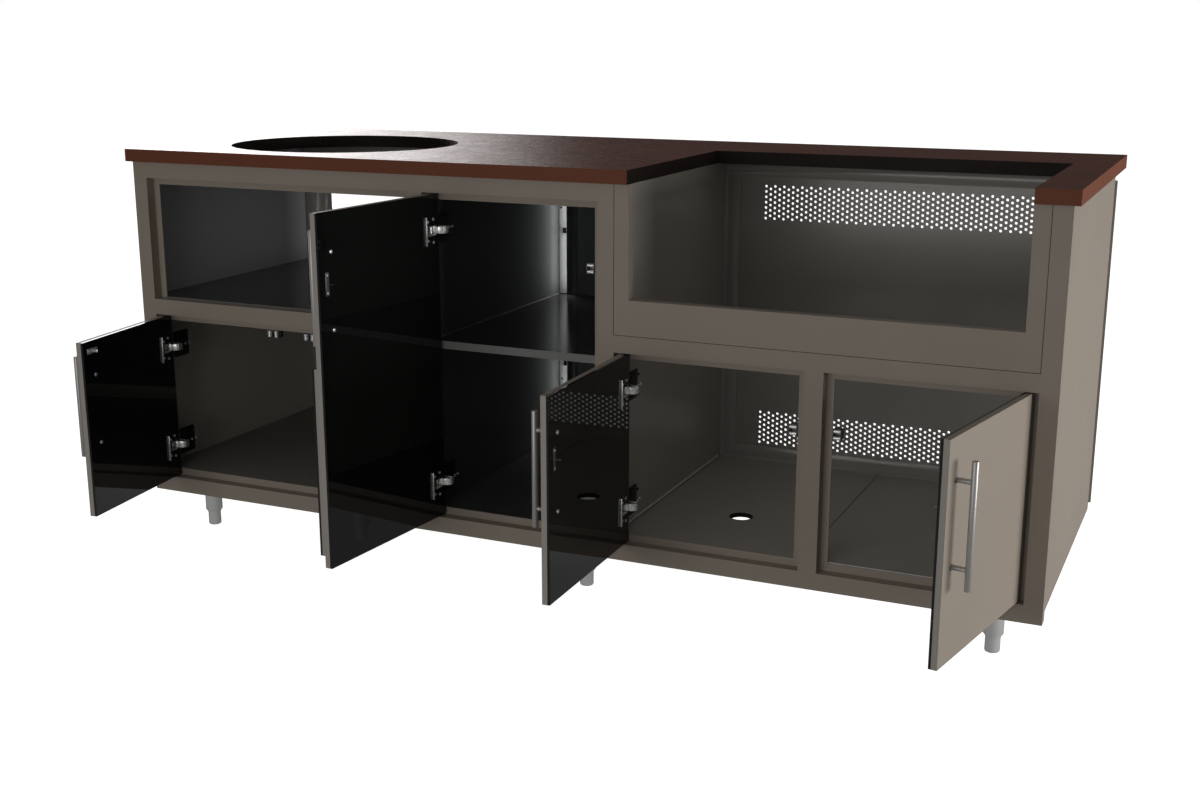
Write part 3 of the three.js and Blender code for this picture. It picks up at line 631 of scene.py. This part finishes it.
# Sheets: copies of CAD pieces in more than one coat
def shelf_sheet(name):
    """A shelf: near-black on most faces as painted shade, with a paler fold along its front as painted
    light.
    """
    obj = paint(new_object(name + "_sheet", NODES[name].data.copy()), SHELF_PAINTED_SHADE, FOLD_PAINTED_LIGHT)
    # Faces that look to the front take the paler coat, as painted light
    for polygon in obj.data.polygons:
        polygon.material_index = 1 if polygon.normal.y < -FACING else 0
    finish_piece(obj, "root", [name])


def counter_slab():
    """The counter: hammered copper outside, and near-black painted shade inside the cut-outs and
    underneath.
    """
    lo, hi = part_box("countertop")

    def on_rim(normal, centre):
        for i in (0, 1):
            inset = min(abs(centre[i] - lo[i]), abs(centre[i] - hi[i]))
            if abs(normal[i]) > SQUARE_ON and inset < MM:
                return True
        return False

    obj = new_object("counter_slab", NODES["countertop"].data.copy())
    paint(obj, COUNTER, DARK_SEAM_AND_SHADE, COUNTER_EDGE)
    for polygon in obj.data.polygons:
        if polygon.normal.z > FACING:
            polygon.material_index = 0
        else:
            polygon.material_index = 2 if on_rim(polygon.normal, polygon.center) else 1
    finish_piece(obj, "root", ["countertop"])


def rear_frame_tubes():
    """The rear frame: body coat outside; inside, a darker copy of the inner coat towards the cabinets
    and a near-black one in the tall bay, both painted shade.
    """
    lo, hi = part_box("rear_frame")
    bay = (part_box("left_divider")[1].x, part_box("right_divider")[0].x)
    bm = welded_copy("rear_frame", [((x, 0, 0), (1, 0, 0)) for x in bay])
    obj = new_object("rear_frame_tubes", mesh_from(bm, "rear_frame_tubes"))
    paint(obj, TAUPE, INNER_PAINTED_SHADE, INNER_PAINTED_DEEP_SHADE)
    for polygon in obj.data.polygons:
        centre = polygon.center
        end = abs(polygon.normal.x) > SQUARE_ON and min(centre.x - lo.x, hi.x - centre.x) < MM
        if end or polygon.normal.y > FACING:
            polygon.material_index = 0
        else:
            polygon.material_index = 2 if bay[0] < centre.x < bay[1] else 1
    finish_piece(obj, "root", ["rear_frame"])


def base_tray():
    """The cabinet floor, one sheet coated by bay as painted shade: darker in the left cabinet,
    near-black in the tall bay, and the dark inner coat beyond it.
    """
    partings = (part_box("left_divider")[0].x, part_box("right_divider")[0].x)
    bm = welded_copy("base_panel", [((x, 0, 0), (1, 0, 0)) for x in partings])
    obj = new_object("base_tray", mesh_from(bm, "base_tray"))
    paint(obj, LEFT_FLOOR_PAINTED_SHADE, INNER_PAINTED_DEEP_SHADE, INNER)
    for polygon in obj.data.polygons:
        polygon.material_index = sum(polygon.center.x > x for x in partings)
    finish_piece(obj, "root", ["base_panel"])


def left_side_sheet():
    """The left side panel: paler inside the left cabinet as painted light, and a cooler grey in the
    kamado bay.
    """
    shelf_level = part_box("kamado_shelf")[0].z
    mesh = NODES["left_side_panel"].data.copy()
    bm = welded_copy("left_side_panel", [((0, 0, shelf_level), (0, 0, 1))])
    bm.to_mesh(mesh)
    bm.free()
    obj = two_tone(new_object("left_side_panel_sheet", mesh), (1, 0, 0), INNER_PAINTED_LIGHT)
    obj.data.materials.append(KAMADO_WALL)
    for polygon in obj.data.polygons:
        if polygon.material_index == 1 and polygon.center.z > shelf_level:
            polygon.material_index = 2
    finish_piece(obj, "root", ["left_side_panel"])


def panel_sheet(name, inward, inner):
    obj = two_tone(new_object(name + "_sheet", NODES[name].data.copy()), inward, inner)
    finish_piece(obj, "root", [name])


# Perforated rear panel
VENT_COLUMNS = 61
VENT_ROWS = (7, 6)
VENT_COLUMN_STEP = 11.0
VENT_ROW_STEP = 12.7
VENT_RADIUS = 3.2
VENT_SIDES = 12
VENT_CENTRE_X = 1624.5
VENT_CENTRES_Z = (679.6, 126.1)


def vent_fields():
    """The round holes of both fields, in staggered columns."""
    holes = []
    for centre_z in VENT_CENTRES_Z:
        for column in range(VENT_COLUMNS):
            rows = VENT_ROWS[column % 2]
            x = VENT_CENTRE_X + (column - (VENT_COLUMNS - 1) / 2) * VENT_COLUMN_STEP
            for row in range(rows):
                z = centre_z + (row - (rows - 1) / 2) * VENT_ROW_STEP
                holes.append(circle(x, z, VENT_RADIUS, VENT_SIDES))
    return holes


def vented_panel():
    lo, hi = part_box("vented_back_panel")
    thickness = (hi.y - lo.y) / MM
    lo_x, lo_z = (lo.x - ORIGIN.x) / MM, (lo.z - ORIGIN.z) / MM
    hi_x, hi_z = (hi.x - ORIGIN.x) / MM, (hi.z - ORIGIN.z) / MM
    outer = [(lo_x, lo_z), (hi_x, lo_z), (hi_x, hi_z), (lo_x, hi_z)]
    middle = Vector((ORIGIN.x, (lo.y + hi.y) / 2, ORIGIN.z))
    upright = Matrix.Translation(middle) @ Matrix.Rotation(math.pi / 2, 4, "X")
    mesh = plate("vented_panel", outer, vent_fields(), thickness, upright)
    # Its inside takes the darker copy of the inner coat, as painted shade
    obj = two_tone(new_object("vented_panel", mesh), (0, -1, 0), INNER_PAINTED_SHADE)
    finish_piece(obj, "root", ["vented_back_panel"])


for shelf in ("kamado_shelf", "middle_shelf"):
    shelf_sheet(shelf)
counter_slab()
rear_frame_tubes()
base_tray()
left_side_sheet()
panel_sheet("right_side_panel", (-1, 0, 0), INNER)
# The left back panel's inside is near-black, as painted shade
panel_sheet("left_back_panel", (0, -1, 0), INNER_PAINTED_DEEP_SHADE)
vented_panel()


# Doors: each is drawn closed, with X along its width, Y from its pivot to the back and Z up
def door_matrix(leaf, angle=None):
    """From a door's own frame, turned to an angle or as at rest, to the row frame."""
    pivot = PIVOT[leaf]
    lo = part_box(leaf)[0]
    base = Vector((pivot.x, pivot.y, lo.z - DOOR_GAP * MM))
    turned = -SIDE[leaf] * math.radians(REST_ANGLE[leaf] if angle is None else angle)
    return Matrix.Translation(base) @ Matrix.Rotation(turned, 4, "Z")


def door_size(leaf):
    """The door's width and height in millimetres, from its solid at rest."""
    turned = door_matrix(leaf).inverted()
    points = [turned @ v.co for v in NODES[leaf].data.vertices]
    width = max(SIDE[leaf] * p.x for p in points) - min(SIDE[leaf] * p.x for p in points)
    height = max(p.z for p in points) - min(p.z for p in points)
    return width / MM, height / MM


def place_on_door(obj, leaf):
    obj.data.transform(door_matrix(leaf))
    obj.data.update()
    return obj


def short(leaf):
    return leaf[:-len("_door")]


def screw_head(bm, place, axis, radius=3.6, height=2.0, slot_depth=0.9):
    """A pan head at a place in metres, with a recess: radius, height and depth in millimetres."""
    lathe(bm, [(0, -0.8), (radius, -0.8), (radius, height * 0.35), (radius * 0.86, height * 0.75),
               (radius * 0.5, height), (radius * 0.24, height), (radius * 0.1, height - slot_depth),
               (0, height - slot_depth)], SCREW_SIDES, along(axis, place))


def sided(side, outline):
    return [(side * u, w) for u, w in outline]


def side_box(bm, side, u0, u1, v0, v1, z0, z1, radius=0.4, segments=2):
    """A box in a door's own frame, on the side to which the door runs."""
    low, high = sorted((side * u0, side * u1))
    add_box(bm, (low, v0, z0), (high, v1, z1), radius, segments)


def door_shell(leaf):
    """The door's steel shell: body coat outside, a paler coat on its end faces as a painted highlight,
    and the black inner pan's edge round its back.
    """
    matrix = door_matrix(leaf)
    parting = matrix @ Vector((0, (INNER_FACE - PAN_EDGE) * MM, 0))
    inward = matrix.to_3x3() @ Vector((0, 1, 0))
    along_door = matrix.to_3x3() @ Vector((1, 0, 0))
    bm = welded_copy(leaf, [(parting, inward)])
    obj = new_object(short(leaf) + "_shell", mesh_from(bm, "door_shell"))
    paint(obj, TAUPE, LINER, DOOR_EDGE_HIGHLIGHT)
    for polygon in obj.data.polygons:
        if (polygon.center - parting).dot(inward) > 0:
            polygon.material_index = 1
        else:
            polygon.material_index = 2 if abs(polygon.normal.dot(along_door)) > SQUARE_ON else 0
    finish_piece(obj, leaf, [leaf])


def door_liner(leaf, start, end, height, hinge_heights):
    """The glossy dark liner of the inner face, cut round the hinge pockets."""
    side = SIDE[leaf]
    name = short(leaf) + "_liner"
    low, high = sorted((side * (start + LINER_EDGE), side * (end - LINER_EDGE)))
    outer = rounded_rectangle(low, DOOR_GAP + LINER_EDGE, high, DOOR_GAP + height - LINER_EDGE,
                              LINER_CORNER)
    pockets = []
    for z in hinge_heights:
        below, above = z - POCKET_HALF, z + POCKET_HALF
        near, far = start + POCKET_START, POCKET_END
        pockets.append(sided(side, [(near, below), (far, below), (far, above), (near, above)]))
    level = (INNER_FACE + LINER_OFFSET) * MM
    upright = Matrix.Translation((0, level, 0)) @ Matrix.Rotation(math.pi / 2, 4, "X")
    liner = new_object(name, plate(name, outer, pockets, LINER_THICKNESS, upright))
    paint(place_on_door(liner, leaf), LINER)
    finish_piece(liner, leaf)


def bar_handle(leaf, u, bottom, top, posts):
    """The round bar, its ends eased, on two turned posts."""
    side = SIDE[leaf]
    v = -PIVOT_DEPTH - HANDLE_STANDOFF
    bm = bmesh.new()
    bar = [(0, bottom), (4.6, bottom), (5.6, bottom + 0.5), (6.0, bottom + 1.4), (6.0, top - 1.4),
           (5.6, top - 0.5), (4.6, top), (0, top)]
    lathe(bm, bar, BAR_SIDES, Matrix.Translation(Vector((side * u, v, 0)) * MM))
    post = [(0, 5.0), (4.5, 5.0), (4.5, 11.2), (3.7, 11.6), (3.7, 12.6), (4.5, 13.0), (4.5, 27.6),
            (5.2, 28.2), (5.2, 29.8), (0, 29.8)]
    for z in posts:
        lathe(bm, post, POST_SIDES, along((0, 1, 0), Vector((side * u, v, z)) * MM))
    piece(short(leaf) + "_bar_handle", bm, HANDLE_STEEL, leaf,
          [short(leaf) + "_handle"], door_matrix(leaf))


def handle_screws(leaf, u, posts):
    """The handle's screws on the inner face."""
    bm = bmesh.new()
    for z in posts:
        screw_head(bm, Vector((SIDE[leaf] * u, INNER_FACE, z)) * MM, (0, 1, 0), 4.2, 2.4)
    piece(short(leaf) + "_handle_screws", bm, HINGE_STEEL, leaf,
          matrix=door_matrix(leaf))


def hinge_plate(leaf, stem, z):
    """The cup's plate, cheeks, pin and screws on the door."""
    side = SIDE[leaf]
    bm = bmesh.new()
    outline = [(2.5, z - 31), (32.0, z - 31), (35.0, z - 28), (35.0, z + 28), (32.0, z + 31),
               (2.5, z + 31), (0.5, z + 29), (0.5, z + 8.6), (32.3, z + 8.6), (32.3, z - 8.6),
               (0.5, z - 8.6), (0.5, z - 29)]
    prism(bm, sided(side, outline), CUP_FRONT * MM, CUP_BACK * MM, axes=(0, 2, 1), bevel=0.5)
    side_box(bm, side, 32.6, 35.4, CUP_FRONT, CUP_BACK + 2.6, z - 30.2, z + 30.2, 0.6)
    for end in (-1, 1):
        cheek = z + end * 9.3
        side_box(bm, side, -4, 22, -3.2, CUP_BACK - 0.2, cheek - 1.0, cheek + 1.0, 0.5)
        for u, rise in ((8.0, 24.5), (27.0, 20.0)):
            place = Vector((side * u, CUP_BACK, z + end * rise)) * MM
            screw_head(bm, place, (0, 1, 0), 3.1, 1.5, 0.7)
    lathe(bm, [(0, z - 10.3), (1.6, z - 10.3), (1.6, z + 10.3), (0, z + 10.3)], PIN_SIDES)
    piece(stem + "_hinge_plate", bm, HINGE_STEEL, leaf, [stem + "_hinge_cup"],
          door_matrix(leaf))


def hinge_link(leaf, stem, z):
    """The arm: an eye, two bright plates on the sloping link, the base behind the lip and a channel."""
    side = SIDE[leaf]
    bm = bmesh.new()
    eye = [(1.9, z - ARM_HALF), (3.2, z - ARM_HALF), (3.2, z + ARM_HALF), (1.9, z + ARM_HALF)]
    ring_tube(bm, eye, EYE_SIDES)
    slope = Matrix.Rotation(side * math.radians(HINGE_ARM_ANGLE), 4, "Z")
    for start, end, depth, half, radius, segments in (
            (3.4, 14.2, 2.6, ARM_HALF, 1.0, 3), (15.2, 28.0, 2.6, ARM_HALF, 1.0, 3),
            (2.0, 28.5, 1.4, 6.4, 0.3, 2)):
        part = bmesh.new()
        side_box(part, side, start, end, -depth, depth, z - half, z + half, radius, segments)
        join_into(bm, part, slope)
    front, back = ARM_BASE_FRONT, ARM_BASE_BACK
    side_box(bm, side, 25.3, 29.1, 11.4, back, z - ARM_HALF, z + ARM_HALF, 0.9, 3)
    side_box(bm, side, -16.8, 29.1, front, back, z - ARM_HALF, z + ARM_HALF, 0.6)
    side_box(bm, side, -16.8, 2.0, front + 0.2, back - 0.2, z - 24, z + 24, 0.8)
    for end in (-1, 1):
        screw_head(bm, Vector((side * -7.5, back, z + end * 17)) * MM, (0, 1, 0), 3.4, 1.6, 0.8)
    channel = [(7.0, back - 1), (13.0, back - 1), (13.0, 62), (10.5, 84), (7.0, 84)]
    prism(bm, sided(side, channel), (z - 6.2) * MM, (z + 6.2) * MM, axes=(0, 1, 2), bevel=0.8)
    for u, depth in ((12.8, 40), (12.8, 56), (11.4, 72)):
        screw_head(bm, Vector((side * u, depth, z)) * MM, (side, 0, 0), 3.2, 1.8, 0.8)
    piece(stem + "_hinge_link", bm, HINGE_STEEL, "root", [stem + "_hinge_arm"],
          door_matrix(leaf, 0))


def hinge_mount(leaf, stem, z):
    """The black mounting plate off the back of the stile."""
    side = SIDE[leaf]
    back = ARM_BASE_BACK
    bm = bmesh.new()
    outline = [(back + 0.2, z - 24), (back + 3, z - 31), (78, z - 31), (82, z - 27), (82, z + 27),
               (78, z + 31), (back + 3, z + 31), (back + 0.2, z + 24)]
    low, high = sorted((side * 4.4, side * 7.0))
    prism(bm, outline, low * MM, high * MM, axes=(1, 2, 0), bevel=0.5)
    side_box(bm, side, -12.0, 6.8, back + 0.1, back + 2.3, z - 23, z + 23, 0.5)
    for end in (-1, 1):
        for depth in (38, 70):
            place = Vector((side * 7.0, depth, z + end * 21)) * MM
            screw_head(bm, place, (side, 0, 0), 3.4, 1.8, 0.8)
    piece(stem + "_hinge_mount", bm, DARK_STEEL, "root", matrix=door_matrix(leaf, 0))


def dress_door(leaf):
    width, height = door_size(leaf)
    start, end = -PIVOT_INSET, width - PIVOT_INSET
    hinge_heights = [DOOR_GAP + HINGE_END_INSET, DOOR_GAP + height - HINGE_END_INSET]
    handle = end - HANDLE_EDGE_INSET
    top = DOOR_GAP + height - HANDLE_TOP_DROP
    bottom = top - HANDLE_LENGTH
    posts = [(bottom + top + sign * HANDLE_POST_SPACING) / 2 for sign in (-1, 1)]

    door_shell(leaf)
    door_liner(leaf, start, end, height, hinge_heights)
    bar_handle(leaf, handle, bottom, top, posts)
    for level, z in zip(("lower", "upper"), hinge_heights):
        stem = short(leaf) + "_" + level
        hinge_plate(leaf, stem, z)
        hinge_link(leaf, stem, z)
        hinge_mount(leaf, stem, z)
    handle_screws(leaf, handle, posts)


# Catches, drawn with X away from the rail or stile, Y to the back and Z along it, and strikes
def catch_matrix(leaf, lo, hi, on_rail):
    """From a catch's own frame to the row frame."""
    if on_rail:
        return Matrix(((0, 0, 1, (lo.x + hi.x) / 2), (0, 1, 0, ORIGIN.y),
                       (-1, 0, 0, hi.z + CATCH_CLEARANCE * MM), (0, 0, 0, 1)))
    out = -SIDE[leaf]
    edge = lo.x - CATCH_CLEARANCE * MM if out > 0 else hi.x + CATCH_CLEARANCE * MM
    return Matrix(((out, 0, 0, edge), (0, 1, 0, ORIGIN.y), (0, 0, 1, (lo.z + hi.z) / 2),
                   (0, 0, 0, 1)))


def dress_catch(leaf, name, lo, hi, on_rail):
    """A catch of two rollers in a cheeked housing."""
    matrix = catch_matrix(leaf, lo, hi, on_rail)
    half = (hi.x - lo.x if on_rail else hi.z - lo.z) / MM / 2 - 0.1
    radius = 5.6 if on_rail else 3.9
    apart = half - 0.2 - radius
    bm = bmesh.new()
    add_box(bm, (16.4, 31.0, -half), (34.2, 41.9, half), 1.0, 3)
    for start in (16.4, 32.2):
        add_box(bm, (start, 20.6, -half), (start + 2.0, 33.0, half), 0.6)
    add_box(bm, (2.1, 27.4, -half), (17.4, 29.2, half), 0.4)
    piece(name + "_housing", bm, DULL_STEEL, "root", [name], matrix)

    roller = [(0, 18.0), (radius - 0.6, 18.0), (radius, 18.6), (radius, 31.8), (radius - 0.6, 32.4),
              (0, 32.4)]
    lying = Matrix.Rotation(math.pi / 2, 4, "Y")
    bm = bmesh.new()
    for end in (-1, 1):
        place = Matrix.Translation(Vector((0, 24.6, end * apart)) * MM)
        lathe(bm, roller, ROLLER_SIDES, place @ lying)
        screw_head(bm, Vector((9.0, 29.2, end * 5.6)) * MM, (0, 1, 0), 2.8, 1.4, 0.7)
    piece(name + "_rollers", bm, HINGE_STEEL, "root", [name], matrix)


def dress_strike(leaf, lo, hi, on_rail):
    """The strike on a door's inner face, drawn round its tongue and placed to meet the catch."""
    face = STRIKE_FACE
    front = face + STRIKE_THICKNESS
    long_half, wide_half = (17.5, 6.0) if on_rail else (23.0, 5.5)
    bm = bmesh.new()
    add_box(bm, (-long_half, face, -wide_half), (long_half, front, wide_half), 0.5)
    tongue = [(-3.4, face + 1), (3.4, face + 1), (2.6, face + 5), (2.6, face + 9.8),
              (3.6, face + 11), (2.2, face + 14), (-2.2, face + 14), (-3.6, face + 11),
              (-2.6, face + 9.8), (-2.6, face + 5)]
    prism(bm, tongue, -2.3 * MM, 2.3 * MM, axes=(2, 1, 0), bevel=0.5)
    for end in (-1, 1):
        screw_head(bm, Vector((end * (long_half - 6.0), front, 0)) * MM, (0, 1, 0), 2.8, 1.2, 0.6)
    base = door_matrix(leaf).translation
    if on_rail:
        level = hi.z + CATCH_CLEARANCE * MM - STRIKE_DROP * MM
        offset = Vector(((lo.x + hi.x) / 2 - base.x, 0, level - base.z))
        turned = Matrix.Identity(4)
    else:
        reach = door_size(leaf)[0] - PIVOT_INSET - STRIKE_EDGE_INSET
        offset = Vector((SIDE[leaf] * reach * MM, 0, (lo.z + hi.z) / 2 - base.z))
        turned = Matrix.Rotation(math.pi / 2, 4, "Y")
    strike = new_object(short(leaf) + "_strike", mesh_from(bm, "strike"))
    proud = [polygon.center.y > (face + STRIKE_PROUD) * MM for polygon in strike.data.polygons]
    strike.data.transform(Matrix.Translation(offset) @ turned)
    paint(place_on_door(strike, leaf), HINGE_STEEL if on_rail else DULL_STEEL, HINGE_STEEL)
    for polygon, bright in zip(strike.data.polygons, proud):
        polygon.material_index = 1 if bright else 0
    finish_piece(strike, leaf)


for leaf in DOORS:
    dress_door(leaf)
for leaf in DOORS:
    catch = short(leaf) + "_catch"
    catch_lo, catch_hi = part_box(catch)
    hangs_from_rail = catch_hi.z - catch_lo.z > RAIL_CATCH_HEIGHT * MM
    dress_catch(leaf, catch, catch_lo, catch_hi, hangs_from_rail)
    dress_strike(leaf, catch_lo, catch_hi, hangs_from_rail)


# Small fittings and seams
def rod(name, route, radius, steps=14):
    """A bent round rod along a route in millimetres that keeps to one plane across X."""
    points = [Vector(at(*place)) for place in route]
    across = Vector((1, 0, 0))
    bm = bmesh.new()
    rings = []
    for i, point in enumerate(points):
        ahead = (points[min(i + 1, len(points) - 1)] - points[max(i - 1, 0)]).normalized()
        third = ahead.cross(across).normalized()
        angles = [2 * math.pi * k / steps for k in range(steps)]
        rings.append([bm.verts.new(point + (across * math.cos(a) + third * math.sin(a)) * radius * MM)
                      for a in angles])
    for lower, upper in zip(rings, rings[1:]):
        for k in range(steps):
            j = (k + 1) % steps
            bm.faces.new((lower[k], lower[j], upper[j], upper[k]))
    bm.faces.new(rings[0])
    bm.faces.new(rings[-1])
    fixed(name, bm, PAINTED_LIGHT_STRIP)


def strips(name, boxes, material, radius=0.1):
    """Thin bars, each given by two corners in millimetres from the body's corner."""
    bm = bmesh.new()
    for low, high in boxes:
        add_box(bm, [c / MM for c in at(*low)], [c / MM for c in at(*high)], radius)
    fixed(name, bm, material)


# The bright rod along the foot of the right divider, turned up at its front end: its brightness is
# painted light for the light through the gap at the divider's foot
ROD_X = 1206.6
rod("divider_foot_rod", [(ROD_X, 50, 142), (ROD_X, 50, 66), (ROD_X, 51.5, 60.5), (ROD_X, 56, 57.4),
                         (ROD_X, 64, 56.6), (ROD_X, 640, 56.6)], 2.3)

# The seam of the cabinet floor, and the bright bead along the far right doorway's sill, a painted line
# of light for the gap there
FILM = FLOOR_TOP + 0.02
strips("floor_seam", [((1603, 29, FILM), (1604.6, 663, 52.4))], DARK_STEEL)
strips("sill_bead", [((1655, 27.4, FILM), (2020, 29.4, 53.2))], PAINTED_LIGHT_STRIP, 0.3)

# The seams round the grill surround
strips("surround_seam", [((1204.5, -0.25, 479.6), (1205.5, 0.25, 783.8)),
                         ((1205.9, -0.25, 479.6), (2043.1, 0.25, 480.6)),
                         ((2043.5, -0.25, 479.6), (2044.5, 0.25, 783.8))], DARK_SEAM_AND_SHADE)

# The light bead where the middle shelf meets the left divider: a painted line of light for the bright
# seam there
strips("shelf_bead", [((764.4, 28.5, 427.2), (765.8, 662.0, 428.3))], HANDLE_STEEL)

# The collar of the pipe hole, near-black as painted shade for the depth of the hole
bm = bmesh.new()
collar = [(24.2, 43.0), (24.8, 43.2), (24.8, 52.1), (25.8, 52.1), (25.8, 52.7), (24.2, 52.7)]
ring_tube(bm, collar, COLLAR_SIDES, Matrix.Translation(Vector(at(*PIPE_HOLE, 0))))
fixed("pipe_hole_collar", bm, DARK_SEAM_AND_SHADE)

# The bright post behind the tall bay, its pale strips painted light for a lit band there, with its two
# dark hooks and two screws
strips("tall_bay_post", [((765.2, 662.3, 53.4), (785.4, 663.5, 409.0)),
                         ((765.2, 662.3, 428.2), (785.4, 663.5, 782.0))], PAINTED_LIGHT_STRIP, 0.3)
strips("tall_bay_hooks", [((777.0, 658.5, 241.0), (785.4, 662.2, 254.0)),
                          ((777.0, 658.5, 582.0), (785.4, 662.2, 595.0))],
       DARK_STEEL, 0.8)
bm = bmesh.new()
for screw_z in (205, 645):
    screw_head(bm, at(771, 662.3, screw_z), (0, -1, 0), 2.6, 1.2, 0.6)
fixed("tall_bay_screws", bm, DARK_STEEL)

# Screws that hold the back panels to the lips of the rear frame, with their spacing in metres
SCREW_INSET = 9 * MM
SCREW_SPACING_X = 0.2
SCREW_SPACING_Z = 0.18
bm = bmesh.new()
for panel in ("left_back_panel", "vented_back_panel"):
    lo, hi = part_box(panel)
    columns = max(2, round((hi.x - lo.x) / SCREW_SPACING_X))
    rows = max(2, round((hi.z - lo.z) / SCREW_SPACING_Z))
    spots = []
    for i in range(columns + 1):
        x = lo.x + SCREW_INSET + (hi.x - lo.x - 2 * SCREW_INSET) * i / columns
        spots += [(x, lo.z + SCREW_INSET), (x, hi.z - SCREW_INSET)]
    for i in range(1, rows):
        z = lo.z + SCREW_INSET + (hi.z - lo.z - 2 * SCREW_INSET) * i / rows
        spots += [(lo.x + SCREW_INSET, z), (hi.x - SCREW_INSET, z)]
    for x, z in spots:
        screw_head(bm, Vector((x, hi.y, z)), (0, 1, 0), 4.2, 2.0, 0.9)
fixed("back_panel_screws", bm, HINGE_STEEL)


# Legs
def leg_tube(name, lo, hi, upright):
    """A leg's fixed tube with its flange, bored from below for the foot."""
    bottom, top = lo.z / MM, hi.z / MM
    flange = (hi.x - lo.x) / MM / 2
    bm = bmesh.new()
    lathe(bm, [(0, top), (flange - 0.6, top), (flange, top - 0.6), (flange, top - 2.4),
               (flange - 0.6, top - 3), (21.5, top - 3), (20.0, top - 4.5), (20.0, bottom + 1.5),
               (19.4, bottom + 0.5), (18.6, bottom), (12.4, bottom), (12.0, bottom + 0.4),
               (12.0, bottom + 56), (0, bottom + 56)], LEG_SIDES, upright)
    fixed(name + "_tube", bm, LEG_STEEL, [name])


def foot_pad(name, hi, upright):
    """A levelling foot: its stem, collar and tapered pad."""
    top = hi.z / MM
    collar = top - 52.0
    bm = bmesh.new()
    lathe(bm, [(0, top), (11.2, top), (11.7, top - 0.5), (11.7, collar), (16.9, collar),
               (17.5, collar - 0.6), (17.5, collar - 1.4), (15.2, collar - 5.6),
               (15.0, collar - 6.4), (15.0, 3.4), (14.1, 1.2), (12.0, 0), (0, 0)],
          LEG_SIDES, upright)
    piece(name + "_pad", bm, LEG_STEEL, name, [name])


for name in list(NODES):
    if name.endswith(("_leg", "_foot")):
        lo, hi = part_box(name)
        centre = (lo + hi) / 2
        upright = Matrix.Translation((centre.x, centre.y, 0))
        if name.endswith("_leg"):
            leg_tube(name, lo, hi, upright)
        else:
            foot_pad(name, hi, upright)
